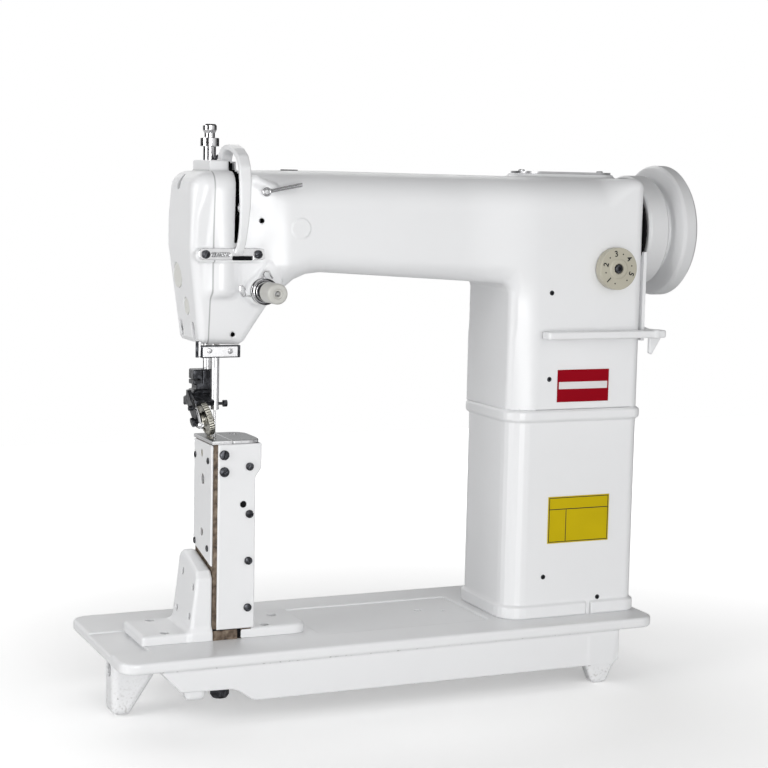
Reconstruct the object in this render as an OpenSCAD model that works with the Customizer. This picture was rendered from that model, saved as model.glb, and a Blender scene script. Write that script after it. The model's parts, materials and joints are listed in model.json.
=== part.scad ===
// Post-bed roller-feed sewing machine for leather work, built as separate parts.
// All modules are drawn in bench coordinates: X from the left end of the bed, Y from its front
// edge, Z from its top face. place() moves them to the part's own frame.

/* [Bed] */
// Length of the bed, left to right
bed_l = 517; // [510:1:524]
// Width of the bed, front to back
bed_w = 178; // [176:1:184]
// Thickness of the bed slab
slab_t = 10; // [9:0.5:12]
// Height of the bed's top face above the feet
bed_rise = 60; // [58:1:66]
// How far the skirt hangs below the bed's top face
skirt_drop = 42.5; // [40:0.5:46]

/* [Post] */
// Height of the post above the bed
post_h = 173; // [170:1:176]
// Thickness of the needle plate
plate_t = 3; // [2:0.5:3]

/* [Arm and pillar] */
// Height of the riser above the bed
riser_h = 195; // [190:1:200]
// Height of the top of the arm above the bed
arm_top = 410; // [408:1:412]
// Height of the underside of the arm above the bed
arm_bottom = 316; // [313:1:318]

/* [Drive] */
// Height of the upper shaft above the bed
shaft_z = 360; // [359:0.5:361]
// Radius of the handwheel rim
wheel_r = 62; // [58:1:66]
// Crank radius, half the stroke of the needle bar
crank_r = 16; // [14:0.5:16]

/* [Presser] */
// Radius of the presser roller
roller_r = 15.5; // [14:0.5:15.5]
// Lean of the presser roller's axle
roller_tilt = 15; // [10:1:15]

/* [Hidden] */
$fn = 64;

// Colours
paint = [0.93, 0.94, 0.94];
steel = [0.72, 0.72, 0.73];
black = [0.16, 0.16, 0.18];
raw_iron = [0.42, 0.33, 0.27];
bronze = [0.72, 0.55, 0.30];

// Overall frame: the handwheel's outer face is as far right as the bed is left
wheel_x1 = bed_l + 43;
fit = 0.04;          // radial running clearance of every shaft in its bore
shaft_y = 81;        // all shafts, the needle bar and the hook lie in this plane

// Post
post_x0 = 95.5;
post_x1 = 131;
post_y0 = 53;
post_y1 = 103;
cover_t = 2;
foot_t = 9;
hook_x = 119.5;
hook_r = 13;
hook_z0 = post_h - 15;

// Feed train in the post
feed_x0 = 98.6;
feed_x1 = 102.4;
feed_r = 14.5;
feed_z = post_h + plate_t + 0.3 - feed_r;
feed_gear_r = 8;
feed_gear_y = 78;
feed_gear_z = feed_z - 22.6;

// Needle bar and presser bar
bar_x = 105;
bar_r = 3.6;
bar_z0 = 200;
bar_top = 368;
presser_y = 102.6;
pivot_y = 108;       // pin of the take-up lever
pivot_z = 353;
presser_r = 4;
presser_z1 = 336;
spring_z0 = 300;
spring_z1 = 346;

// Pillar and riser
pillar_x0 = 373;
pillar_x1 = 509;
pillar_y0 = 31;
pillar_y1 = 133;
wall = 6;

// Head
head_x0 = 92;
head_y0 = 46;
head_y1 = 122;
head_z0 = 260;
head_z1 = 406;
arm_y0 = 38;
arm_y1 = 128;

// Shafts and belt
lower_z = -32;
shaft_r = 7;
lower_r = 6;
belt_x0 = 434;
belt_x1 = 444;
pulley_r = 18;
pitch_small = 8;
pitch_large = 16;

// Tension unit, dial and lever
tension_x = 134.3;
tension_z = 306;
dial_x = 475;
dial_z = 326;
lever_y = 72;
lever_z = 266;

// Presser roller
roller_x = 97;
roller_z = post_h + plate_t + 16.3;

module place() translate([-(wheel_x1) / 2, -bed_w / 2, bed_rise]) children();

// A block between two opposite corners
module block(a, b) translate(a) cube(b - a);

// Cylinders between two places along an axis
module x_cyl(x0, x1, r, y, z) translate([x0, y, z]) rotate([0, 90, 0]) cylinder(h = x1 - x0, r = r);
module y_cyl(y0, y1, r, x, z) translate([x, y1, z]) rotate([90, 0, 0]) cylinder(h = y1 - y0, r = r);
module z_cyl(z0, z1, r, x, y) translate([x, y, z0]) cylinder(h = z1 - z0, r = r);

module x_tube(x0, x1, ro, ri, y, z) difference() {
    x_cyl(x0, x1, ro, y, z);
    x_cyl(x0 - 1, x1 + 1, ri, y, z);
}
module z_tube(z0, z1, ro, ri, x, y) difference() {
    z_cyl(z0, z1, ro, x, y);
    z_cyl(z0 - 1, z1 + 1, ri, x, y);
}

// A flat outline drawn in X and Z, as thick as y0 to y1, and one drawn in Y and Z
module xz_plate(y0, y1) translate([0, y1, 0]) rotate([90, 0, 0]) linear_extrude(y1 - y0) children();
module yz_plate(x0, x1) translate([x0, 0, 0]) rotate([90, 0, 90]) linear_extrude(x1 - x0) children();

// A rectangle between two corners with a radius for the left and for the right corners
module round_rect(x0, y0, x1, y1, rl, rr) {
    polygon([[x0 + rl, y0], [x1 - rr, y0], [x1, y0 + rr], [x1, y1 - rr],
        [x1 - rr, y1], [x0 + rl, y1], [x0, y1 - rl], [x0, y0 + rl]]);
    for (y = [y0 + rl, y1 - rl]) translate([x0 + rl, y]) circle(rl);
    for (y = [y0 + rr, y1 - rr]) translate([x1 - rr, y]) circle(rr);
}

// A slotted screw head standing out along -Y or along -X from a face
module screw_front(x, y, z, r, h) difference() {
    y_cyl(y - h, y, r, x, z);
    block([x - 0.5, y - h - 1, z - r - 1], [x + 0.5, y - h * 0.45, z + r + 1]);
}
module screw_left(x, y, z, r, h) difference() {
    x_cyl(x - h, x, r, y, z);
    block([x - h - 1, y - 0.5, z - r - 1], [x - h * 0.45, y + 0.5, z + r + 1]);
}
module screw_top(x, y, z, r, h) difference() {
    z_cyl(z, z + h, r, x, y);
    block([x - r - 1, y - 0.5, z + h * 0.55], [x + r + 1, y + 0.5, z + h + 1]);
}

// ---------- bed and riser ----------

skirt_outline = [[33, -slab_t + 1], [52, -32], [105, -32], [118, -skirt_drop],
    [479, -skirt_drop], [479, -slab_t + 1]];
left_foot_outline = [[5, -slab_t + 1], [5, 6 - bed_rise], [11, -bed_rise], [22, -bed_rise],
    [44, -27], [44, -slab_t + 1]];
right_foot_outline = [[445, -slab_t + 1], [445, -skirt_drop], [461, -bed_rise],
    [470, -bed_rise], [477, -skirt_drop], [477, -slab_t + 1]];
lug_xs = [140, 400];
lug_t = 12;

module bed_casting() color(paint) place() difference() {
    union() {
        translate([0, 0, -slab_t]) linear_extrude(slab_t) round_rect(0, 0, bed_l, bed_w, 15, 15);
        xz_plate(3, 9) polygon(skirt_outline);
        xz_plate(bed_w - 9, bed_w - 3) polygon(skirt_outline);
        block([473, 8, -skirt_drop], [479, bed_w - 8, -slab_t + 1]);
        block([52, 8, -30], [58, bed_w - 8, -slab_t + 1]);
        xz_plate(48, 74) polygon(left_foot_outline);
        xz_plate(3, 17) polygon(right_foot_outline);
        xz_plate(bed_w - 17, bed_w - 3) polygon(right_foot_outline);
        block([58, 8, -40], [74, 22, -slab_t + 1]);
        for (x = lug_xs) block([x, shaft_y - 15, lower_z - 13], [x + lug_t, shaft_y + 15, -slab_t + 1]);
    }
    block([190, 57, -1.5], [355, 140, 1]);
    block([-1, 47, -1.5], [28, 113, 1]);
    block([430, 57, -slab_t - 1], [448, 105, 1]);
    z_cyl(-slab_t - 1, 1, 8, hook_x, shaft_y);
    for (x = lug_xs) x_cyl(x - 1, x + lug_t + 1, 9, shaft_y, lower_z);
    x_cyl(4, 45, 6.25, 61, -19);
    z_cyl(-slab_t - 1, 1, 2.5, 316, 101);
}

module riser_casting() color(paint) place() difference() {
    union() {
        linear_extrude(riser_h) round_rect(pillar_x0, pillar_y0, pillar_x1, pillar_y1, 20, 10);
        linear_extrude(12)
            round_rect(pillar_x0 - 3, pillar_y0 - 3, pillar_x1 + 3, pillar_y1 + 3, 22, 12);
        translate([0, 0, riser_h - 10]) linear_extrude(10)
            round_rect(pillar_x0 - 3, pillar_y0 - 3, pillar_x1 + 3, pillar_y1 + 3, 22, 12);
    }
    translate([0, 0, -1]) linear_extrude(riser_h + 2)
        round_rect(pillar_x0 + wall, pillar_y0 + wall, pillar_x1 - wall, pillar_y1 - wall, 14, 5);
    block([457, pillar_y0 - 4, -1], [461.5, pillar_y0 - 0.5, 13]);
}

// ---------- arm, head and their covers ----------

head_outline = [[head_x0, head_z0], [117, head_z0], [141, 291], [152, 300], [157, arm_bottom],
    [172, arm_bottom + 4], [172, head_z1], [head_x0, head_z1]];
head_cavity = [[head_x0 - 1, head_z0 + 7], [114, head_z0 + 7], [135, 292], [143, 300],
    [143, head_z1 - 6], [head_x0 - 1, head_z1 - 6]];

module arm_shell() difference() {
    union() {
        xz_plate(head_y0, head_y1) polygon(head_outline);
        yz_plate(150, pillar_x1) round_rect(arm_y0, arm_bottom, arm_y1, arm_top, 30, 30);
        translate([0, 0, riser_h]) linear_extrude(arm_top - 40 - riser_h)
            round_rect(pillar_x0 - 4, pillar_y0, pillar_x1, pillar_y1 + 4, 20, 10);
        yz_plate(pillar_x0 - 4, pillar_x1)
            round_rect(pillar_y0 + 0.5, arm_bottom - 20, pillar_y1 + 3.5, arm_top, 40, 40);
        translate([0, 0, arm_top - 12]) linear_extrude(14) round_rect(394, 62, 498, 106, 20, 20);
        translate([0, 0, head_z1 - 3]) linear_extrude(12) round_rect(93, 66, 117, 116, 5, 5);
        y_cyl(42, 50, 13, tension_x, tension_z);
    }
    xz_plate(head_y0 + 6, head_y1 - 6) polygon(head_cavity);
    yz_plate(162, pillar_x1 - wall) round_rect(arm_y0 + wall, arm_bottom + wall,
        arm_y1 - wall, arm_top - wall, 24, 24);
    translate([0, 0, riser_h - 1]) linear_extrude(arm_bottom + 20 - riser_h)
        round_rect(pillar_x0 + 2, pillar_y0 + wall, pillar_x1 - wall, pillar_y1 - 2, 14, 5);
    translate([0, 0, arm_top - 14]) linear_extrude(20) round_rect(402, 70, 490, 98, 13, 13);
    block([110.6, head_y0 - 1, 347], [116, head_y0 + 7, head_z1 + 1]);
    block([110.6, head_y0 - 1, head_z1 - 7], [116, head_y0 + 18, head_z1 + 1]);
}

module arm_casting() color(paint) place() difference() {
    union() {
        arm_shell();
        z_cyl(head_z0, 284, 9, bar_x, shaft_y);
        z_cyl(head_z0, 284, 9, bar_x, presser_y);
        block([97.5, 73, 350], [111.3, head_y1 - 5, 366]);
        block([115, 100, 344], [118, head_y1 - 5, 362]);
        x_cyl(480, pillar_x1 - 1, 16, shaft_y, shaft_z);
    }
    z_cyl(head_z0 - 1, 285, 6, bar_x, shaft_y);
    z_cyl(head_z0 - 1, 285, presser_r + fit, bar_x, presser_y);
    z_cyl(349, 367, 6, bar_x, shaft_y);
    z_cyl(349, head_z1 + 12, 5.7 + fit, bar_x, presser_y);
    x_cyl(142, 163, 11, shaft_y, shaft_z);
    x_cyl(479, pillar_x1 + 1, 11, shaft_y, shaft_z);
    y_cyl(41, 53, 3, tension_x, tension_z);
    y_cyl(head_y1 - 7, head_y1 + 1, 4 + fit, 125, 300);
    x_cyl(114, 119, 3, pivot_y, pivot_z);
    z_cyl(arm_top - 8, arm_top + 1, 4, 170.5, 89);
    z_cyl(arm_top - 8, arm_top + 1, 4, 178.5, 89);
    block([170.5, 85, arm_top - 8], [178.5, 93, arm_top + 1]);
}

face_outline = [[head_x0, 262], [85, 262], [82, 285], [74, 345], [74, 396], [82, head_z1 - 2],
    [head_x0, head_z1 - 2]];
face_cavity = [[head_x0 + 1, 266], [87.5, 266], [85.5, 286], [78, 346], [78, 395],
    [83.5, head_z1 - 6], [head_x0 + 1, head_z1 - 6]];

module face_plate() color(paint) place() difference() {
    xz_plate(head_y0, head_y1) polygon(face_outline);
    xz_plate(head_y0 + 4, head_y1 - 4) polygon(face_cavity);
    x_cyl(70, 84, 11 + fit, 100.7, 317);
    x_cyl(70, 90, 7.4 + fit, 86, 291);
}

module face_plate_plugs() color([0.88, 0.88, 0.85]) place() {
    x_cyl(76.6, 81, 11, 100.7, 317);
    x_cyl(80.6, 84.6, 7.4, 86, 291);
}

module cover_screws() color(steel) place() {
    screw_left(74, 94, 391, 4.2, 1);
    screw_left(82.4, 76, 270, 4, 1.6);
    screw_front(84, head_y0 - 1.5, 337.5, 3.6, 1.8);
    screw_front(131, head_y0 - 1.5, 337.5, 3.6, 1.8);
    for (x = [404, 488]) screw_top(x, 84, arm_top + 4, 3.2, 1.4);
    for (x = [90, 108]) screw_front(x, 52, 254.5, 2.4, 1.2);
}

module top_cover_plate() color(steel) place() translate([0, 0, arm_top + 2]) linear_extrude(2)
    round_rect(396, 64, 496, 104, 18, 18);

module arm_oil_plug() color(black) place() {
    z_cyl(arm_top - 5, arm_top + 0.4, 3.9, 170.5, 89);
    z_cyl(arm_top - 5, arm_top + 0.4, 3.9, 178.5, 89);
    block([170.5, 85.1, arm_top - 5], [178.5, 92.9, arm_top + 0.4]);
}

side_outline = [[33, 258], [80, 258], [80, 276], [62, 292], [46, 300], [41, 341], [33, 341]];

module side_plate() color(paint) place() {
    yz_plate(pillar_x1, pillar_x1 + 3.3) polygon(side_outline);
    x_cyl(pillar_x1 + 3, pillar_x1 + 9.5, 4, lever_y, lever_z);
    x_cyl(pillar_x1 + 8.3, pillar_x1 + 11, 7, lever_y, lever_z);
}

module name_plate() color([0.66, 0.05, 0.14]) place()
    block([419.5, pillar_y0 - 0.6, 202.5], [474, pillar_y0, 232.5]);

module info_plate() color([0.95, 0.85, 0.10]) place()
    block([414, pillar_y0 - 0.6, 70], [479, pillar_y0, 114]);

module pillar_set_screws() color(black) place() {
    for (p = [[411, 303.5], [411, 224], [411, 38.7], [470, 15.5]])
        screw_front(p[0], pillar_y0, p[1], 2.2, 0.6);
}

// ---------- post ----------

module post_body() color(raw_iron) place() difference() {
    union() {
        difference() {
            union() {
                block([post_x0, post_y0, 0], [post_x1, post_y1, post_h]);
                block([96, post_y0 - 1.4, 0], [118, post_y0 + 1, foot_t - 0.5]);
            }
            block([post_x0 + 2.3, post_y0 + 4, -1], [post_x1 - 4, post_y1 - 4, post_h + 1]);
        }
        block([108, post_y0 + 3, 138], [post_x1 - 3, post_y1 - 3, 150]);
    }
    z_cyl(137, 151, 8, hook_x, shaft_y);
    z_cyl(hook_z0 - 2, post_h + 1, hook_r + 1, hook_x, shaft_y);
    x_cyl(post_x0 - 1, post_x0 + 4, 3 + fit, shaft_y, feed_z);
    x_cyl(post_x0 - 1, post_x0 + 4, 3 + fit, feed_gear_y, feed_gear_z);
}

bulge_outline = [[post_x1 - 1, 143], [post_x1 + cover_t, 143], [139, 151], [139, post_h],
    [post_x1 - 1, post_h]];
bulge_cavity = [[post_x1 - 2, 146], [post_x1, 146], [137, 153], [137, post_h + 1],
    [post_x1 - 2, post_h + 1]];

module post_front_cover() color(paint) place() difference() {
    union() {
        block([99, post_y0 - cover_t, foot_t], [post_x1 + cover_t, post_y0, post_h]);
        block([post_x1, post_y0 - cover_t, foot_t], [post_x1 + cover_t, post_y1 + 1, post_h]);
        xz_plate(post_y0 - cover_t, post_y1 + 1) polygon(bulge_outline);
    }
    xz_plate(post_y0, post_y1 - 1) polygon(bulge_cavity);
    block([post_x0, post_y0, -1], [post_x1, post_y1 + 2, post_h + 1]);
    y_cyl(post_y0 - 3, post_y0 + 0.5, 3, 122.3, 119.6);
}

left_cover_outline = [[post_y0 + 1, 65.5], [post_y1, 77.5], [post_y1, post_h - 1],
    [post_y0 + 1, post_h - 1]];
module post_left_cover() color(paint) place() difference() {
    yz_plate(post_x0 - cover_t, post_x0) polygon(left_cover_outline);
    x_cyl(post_x0 - 3, post_x0 + 1, 4.6, feed_gear_y, feed_gear_z);
    x_cyl(post_x0 - 3, post_x0 + 1, 3 + fit, shaft_y, feed_z);
    x_cyl(post_x0 - 3, post_x0 + 1, 3.6, 79.7, 91.8);
}

bracket_front = [[74, foot_t - 1], [post_x0 - 0.1, foot_t - 1], [post_x0 - 0.1, 80], [86, 80],
    [82, 72], [79, 40]];
bracket_side = [[post_y0, foot_t - 1], [post_y0, 57], [57, 62], [100, 73], [105, 72],
    [108, foot_t - 1]];

module post_foot() color(paint) place() difference() {
    union() {
        linear_extrude(foot_t) round_rect(32, 51.5, 184.5, 113, 5, 12);
        intersection() {
            xz_plate(post_y0 - 0.5, 110) polygon(bracket_front);
            yz_plate(70, 100) polygon(bracket_side);
        }
    }
    block([post_x0 - 0.1, post_y0 - 0.1, -1], [post_x1 + 0.1, post_y1 + 0.1, 90]);
    block([post_x0 - 0.1, 50, -1], [121.5, post_y0 + 1, foot_t + 1]);
    for (p = base_screw_places) z_cyl(foot_t - 3, foot_t + 1, 3.4, p[0], p[1]);
}

base_screw_places = [[55, 106], [54, 58.5], [146, 58.5], [164, 89]];
front_screws = [[104.1, 163.8, 4.4], [104.3, 149, 4.4], [127.4, 152.9, 3.5], [127.7, 111, 3.5],
    [127.1, 69.5, 3.5], [126.9, 27.7, 3.5]];
left_screws = [[99, 157.9], [63, 157.3], [99, 80.6], [63.6, 79.8]];

module post_screws() color(black) place() {
    for (p = front_screws) screw_front(p[0], post_y0 - cover_t, p[1], p[2], 1.6);
    for (p = left_screws) screw_left(post_x0 - cover_t, p[0], p[1], 2.8, 0.6);
    for (p = base_screw_places) screw_top(p[0], p[1], foot_t - 3, 3.3, 2);
}

module needle_plate() color(steel) place() difference() {
    block([post_x0 - cover_t, post_y0 - cover_t, post_h], [111.7, post_y1 + 1, post_h + plate_t]);
    block([98, 70, post_h - 1], [103.1, 92, post_h + plate_t + 1]);
    block([103, 79.2, post_h - 1], [106.8, 82.8, post_h + plate_t + 1]);
}

module hook_cover() color(steel) place() translate([0, 0, post_h + 0.2])
    linear_extrude(plate_t - 0.2)
    round_rect(112, post_y0 - cover_t, 139, post_y1 + 1, 1, 12);

// ---------- hook ----------

module hook_shaft() color(steel) place() z_cyl(lower_z + 11.2, hook_z0, 4, hook_x, shaft_y);

module hook_body() color(steel) place() difference() {
    z_cyl(hook_z0, hook_z0 + 11, hook_r, hook_x, shaft_y);
    z_cyl(hook_z0 + 2, hook_z0 + 12, hook_r - 1.6, hook_x, shaft_y);
    translate([hook_x, shaft_y, hook_z0 + 5]) rotate([0, 0, 200]) cube([20, 6, 4]);
}

module bobbin_case() color(steel) place() difference() {
    z_cyl(hook_z0 + 2.4, hook_z0 + 12.5, hook_r - 2, hook_x, shaft_y);
    z_cyl(hook_z0 + 3.4, hook_z0 + 13, hook_r - 3, hook_x, shaft_y);
    z_cyl(hook_z0 + 2, hook_z0 + 4, 1.6, hook_x, shaft_y);
}

module bobbin() color([0.80, 0.80, 0.82]) place() {
    z_cyl(hook_z0 + 3.7, hook_z0 + 4.5, hook_r - 3.4, hook_x, shaft_y);
    z_cyl(hook_z0 + 11.2, hook_z0 + 12, hook_r - 3.4, hook_x, shaft_y);
    z_cyl(hook_z0 + 4, hook_z0 + 11.5, 4, hook_x, shaft_y);
}

// A cone cut into teeth, its wide end up, drawn around Z
module bevel_teeth(r_small, r_wide, h, teeth) difference() {
    cylinder(h = h, r1 = r_small, r2 = r_wide);
    for (i = [0 : teeth - 1]) rotate([0, 0, (i + 0.5) * 360 / teeth])
        translate([r_small * 0.86, -PI * r_small / teeth / 2, -1])
            cube([r_wide, PI * r_small / teeth, h + 2]);
}

module hook_bevel_pinion() color(steel) place() difference() {
    union() {
        translate([hook_x, shaft_y, lower_z + 11.2]) bevel_teeth(5.2, pitch_small - 0.3, 4.8, 12);
        z_cyl(lower_z + 12, lower_z + 20, 4.9, hook_x, shaft_y);
    }
    z_cyl(lower_z + 11, lower_z + 21, 4, hook_x, shaft_y);
}

module lower_bevel_gear() color(steel) place() difference() {
    union() {
        translate([hook_x + 5.9, shaft_y, lower_z]) rotate([0, 90, 0])
            bevel_teeth(10.8, pitch_large - 0.5, 2.4, 24);
        x_cyl(hook_x + 8, hook_x + 19, 11, shaft_y, lower_z);
    }
    x_cyl(hook_x + 5, hook_x + 20, lower_r, shaft_y, lower_z);
}

// ---------- shafts, bushes and belt ----------

module shaft_bushes() color(bronze) place() {
    for (x = lug_xs) x_tube(x, x + lug_t, 9, lower_r + fit, shaft_y, lower_z);
    x_tube(143, 162, 11, shaft_r + fit, shaft_y, shaft_z);
    x_tube(480, pillar_x1, 11, shaft_r + fit, shaft_y, shaft_z);
    z_tube(-slab_t, 2, 8, 4 + fit, hook_x, shaft_y);
    z_tube(138, 150, 8, 4 + fit, hook_x, shaft_y);
}

module lower_shaft() color(steel) place() x_cyl(hook_x + 6, 450, lower_r, shaft_y, lower_z);

module belt_pulley(z, bore) color(steel) place() difference() {
    union() {
        x_cyl(belt_x0 - 0.4, belt_x1 + 0.4, pulley_r, shaft_y, z);
        for (x = [belt_x0 - 2, belt_x1 + 0.4]) x_cyl(x, x + 1.6, pulley_r + 1.5, shaft_y, z);
        x_cyl(belt_x0 - 9, belt_x0, bore + 5, shaft_y, z);
    }
    x_cyl(belt_x0 - 10, belt_x1 + 3, bore, shaft_y, z);
}
module lower_belt_pulley() belt_pulley(lower_z, lower_r);
module upper_belt_pulley() belt_pulley(shaft_z, shaft_r);

module belt_loop(r) {
    for (z = [lower_z, shaft_z]) translate([shaft_y, z]) circle(r);
    translate([shaft_y - r, lower_z]) square([2 * r, shaft_z - lower_z]);
}
module timing_belt() color(black) place() yz_plate(belt_x0, belt_x1) difference() {
    belt_loop(pulley_r + 2.6);
    belt_loop(pulley_r + 0.4);
}

module upper_shaft() color(steel) place() x_cyl(131, wheel_x1 - 6, shaft_r, shaft_y, shaft_z);

module counterweight_crank() color(steel) place() difference() {
    union() {
        x_cyl(126, 136, 28, shaft_y, shaft_z);
        x_cyl(135, 142, 12, shaft_y, shaft_z);
        x_cyl(122.5, 127, 5, shaft_y, shaft_z - crank_r);
    }
    x_cyl(131, 143, shaft_r, shaft_y, shaft_z);
    block([125, 40, shaft_z - 30], [137, shaft_y - 12, shaft_z - 9]);
    block([125, shaft_y + 12, shaft_z - 30], [137, 122, shaft_z - 9]);
}

// Half section of the handwheel: radius, then distance from its left face
wheel_section = [[shaft_r, 2], [18, 2], [18, 10], [44, 10], [44, 1], [46, 0], [50, 0], [52, 2],
    [52, 19.5], [50, 21.4], [42, 25], [42, 27], [56, 29], [wheel_r - 2.5, 31], [wheel_r, 33.5],
    [wheel_r, 44.5], [wheel_r - 2.5, 47.4], [52, 47.4], [49, 44], [46, 36], [20, 36], [18, 44],
    [shaft_r, 44]];
wheel_left = wheel_x1 - 47.4;

module handwheel() color(paint) place() translate([wheel_left, shaft_y, shaft_z])
    rotate([0, 90, 0]) rotate_extrude($fn = 96) polygon(wheel_section);

module feed_eccentric() color(steel) place() difference() {
    union() {
        x_cyl(386, 396, 15, shaft_y, shaft_z + 3);
        x_cyl(395, 404, 12, shaft_y, shaft_z);
    }
    x_cyl(385, 405, shaft_r, shaft_y, shaft_z);
}

// ---------- feed ----------

// A rim cut with fine teeth, with a stub axle on its left
module toothed_disc(r, teeth, y, z) {
    difference() {
        x_cyl(feed_x0, feed_x1, r, y, z);
        for (i = [0 : teeth - 1]) translate([feed_x0 - 1, y, z]) rotate([i * 360 / teeth, 0, 0])
            translate([0, r, 0]) rotate([45, 0, 0]) translate([0, -0.45, -0.45]) cube([6, 0.9, 0.9]);
    }
    x_cyl(post_x0 - 1.6, feed_x0 + 0.5, 3, y, z);
}
module feed_drive_gear() color(steel) place()
    toothed_disc(feed_gear_r, 26, feed_gear_y, feed_gear_z);
module feed_wheel() color(steel) place() toothed_disc(feed_r, 48, shaft_y, feed_z);

// ---------- needle bar and take-up ----------

module needle_bar() color(steel) place() z_cyl(bar_z0, bar_top, bar_r, bar_x, shaft_y);

module needle_bar_bushes() color(bronze) place() {
    z_tube(head_z0 - 2, 284, 6, bar_r + fit, bar_x, shaft_y);
    z_tube(350, 366, 6, bar_r + fit, bar_x, shaft_y);
}

module needle_bar_collar() color(black) place() difference() {
    union() {
        z_cyl(294, 306, 7.5, bar_x, shaft_y);
        x_cyl(bar_x, 122.2, 4, shaft_y, 300);
    }
    z_cyl(293, 307, bar_r, bar_x, shaft_y);
}

link_z1 = shaft_z - crank_r;
module needle_link() color(steel) place() difference() {
    union() {
        x_cyl(117, 122, 7, shaft_y, 300);
        x_cyl(117, 122, 7, shaft_y, link_z1);
        block([117.5, shaft_y - 4, 300], [121.5, shaft_y + 4, link_z1]);
    }
    x_cyl(116, 123, 4 + fit, shaft_y, 300);
    x_cyl(116, 123, 4.5, shaft_y, link_z1);
}

module needle_clamp_screw() color(black) place() {
    x_cyl(bar_x + bar_r - 0.4, bar_x + 8, 1.3, shaft_y, 205);
    x_cyl(bar_x + 7.6, bar_x + 11, 3, shaft_y, 205);
}

module needle() color(steel) place() {
    z_cyl(172, bar_z0, 0.9, bar_x, shaft_y);
    translate([bar_x, shaft_y, 164]) cylinder(h = 8, r1 = 0.25, r2 = 0.9);
}

lever_outline = [[pivot_y, pivot_z - 3.5], [pivot_y, pivot_z + 3.5], [60, 374], [44, 380],
    [38, 379.5], [38, 374.5], [44, 373.5], [60, 366]];
module take_up_lever() color(steel) place() difference() {
    union() {
        yz_plate(112, 114.5) polygon(lever_outline);
        x_cyl(112, 114.5, 6.5, pivot_y, pivot_z);
        x_cyl(111.6, 118.8, 3 - fit, pivot_y, pivot_z);
    }
    x_cyl(111, 115.5, 1.2, 41.5, 377);
}

guard_outline = [[88, 415], [88, 419], [77, 424], [65, 427.5], [52, 426], [42, 418.5], [34, 405],
    [30, 388], [29, 370], [31, 352], [36, 341], [44.4, 338], [44.4, 341], [39, 343.5], [34.5, 353],
    [32.5, 370], [33.5, 387], [37.5, 403], [44.5, 415.5], [53, 422.5], [64, 424], [74, 420.5],
    [80, 415]];
module take_up_guard() color(paint) place() yz_plate(107.5, 118) polygon(guard_outline);

// ---------- presser ----------

module presser_bar() color(steel) place() {
    z_cyl(222, presser_z1, presser_r, bar_x, presser_y);
    z_cyl(290, spring_z0 - 0.2, 6.2, bar_x, presser_y);
}

module presser_spring() color(steel) place()
    z_tube(spring_z0, spring_z1, 6.2, 4.6, bar_x, presser_y);

module pressure_screw() color(steel) place() {
    z_cyl(spring_z1 + 0.3, 372, 4.8, bar_x, presser_y);
    z_cyl(371, 438, 5.7, bar_x, presser_y);
    z_cyl(429, 436, 8.4, bar_x, presser_y);
    z_cyl(437, 443, 5, bar_x, presser_y);
    z_cyl(443, 448.5, 6, bar_x, presser_y);
}

lifter_outline = [[129, 296], [129, 304], [121, 304], [97, 277], [95, 268], [103, 266]];
module presser_lifter() color(steel) place() {
    xz_plate(arm_y1 + 2, arm_y1 + 7) polygon(lifter_outline);
    y_cyl(head_y1 - 5, arm_y1 + 7, 4, 125, 300);
    y_cyl(arm_y1 + 2, arm_y1 + 7, 8, 125, 300);
}

roller_arm = [[110, 214], [110, 234], [94, 234], [74, 204], [72.5, 190], [78, 183.5], [86, 184],
    [91, 192], [96, 206]];
roller_axis = [cos(roller_tilt), 0, sin(roller_tilt)];

// Draws its children along the roller's axle, which is their Z
module on_axle() translate([roller_x, shaft_y, roller_z]) rotate([0, 90 - roller_tilt, 0]) children();

module roller_bracket() color(black) place() difference() {
    union() {
        block([85.5, 94, 214], [110.5, 111.5, 234]);
        yz_plate(85.5, 88.5) polygon(roller_arm);
        on_axle() translate([0, 0, -12.5]) cylinder(h = 16, r = 2.5);
        on_axle() translate([0, 0, -13.5]) cylinder(h = 3, r = 4.2);
    }
    z_cyl(213, 235, presser_r, bar_x, presser_y);
}

module presser_roller() color(steel) place() on_axle() difference() {
    union() {
        translate([0, 0, -2.5]) cylinder(h = 5, r = roller_r);
        translate([0, 0, -5.5]) cylinder(h = 3.5, r = 6);
    }
    translate([0, 0, -6]) cylinder(h = 9, r = 2.5 + fit);
    for (i = [0 : 35]) rotate([0, 0, i * 10]) translate([roller_r, 0, -3]) rotate([0, 0, 45])
        translate([-0.5, -0.5, 0]) cube([1, 1, 6]);
}

// ---------- thread path ----------

module tension_stud() color(steel) place() y_cyl(14, 53, 3, tension_x, tension_z);

module tension_discs() color(steel) place() difference() {
    union() {
        y_cyl(35.6, 36.8, 11.4, tension_x, tension_z);
        y_cyl(36.7, 37.5, 8.5, tension_x, tension_z);
        y_cyl(37.4, 38.6, 11.4, tension_x, tension_z);
        y_cyl(27.4, 35.7, 6.4, tension_x, tension_z);
    }
    y_cyl(20, 40, 3, tension_x, tension_z);
}

module check_spring() color(steel) place() difference() {
    union() {
        y_cyl(39.2, 41.2, 8.6, tension_x, tension_z);
        translate([tension_x - 18, 39.6, tension_z - 1]) cube([11, 1.2, 1.2]);
        y_cyl(39.6, 40.8, 3.2, tension_x - 19.5, tension_z - 1);
    }
    y_cyl(38, 42, 3 + fit, tension_x, tension_z);
    y_cyl(38, 42, 2.2, tension_x - 19.5, tension_z - 1);
}

module tension_knob() color([0.80, 0.80, 0.79]) place() difference() {
    union() {
        y_cyl(4, 6, 8, tension_x, tension_z);
        y_cyl(5.5, 26, 8.8, tension_x, tension_z);
    }
    y_cyl(13.6, 27, 3 + fit, tension_x, tension_z);
    y_cyl(3, 14, 2.4, tension_x, tension_z);
}

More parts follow.
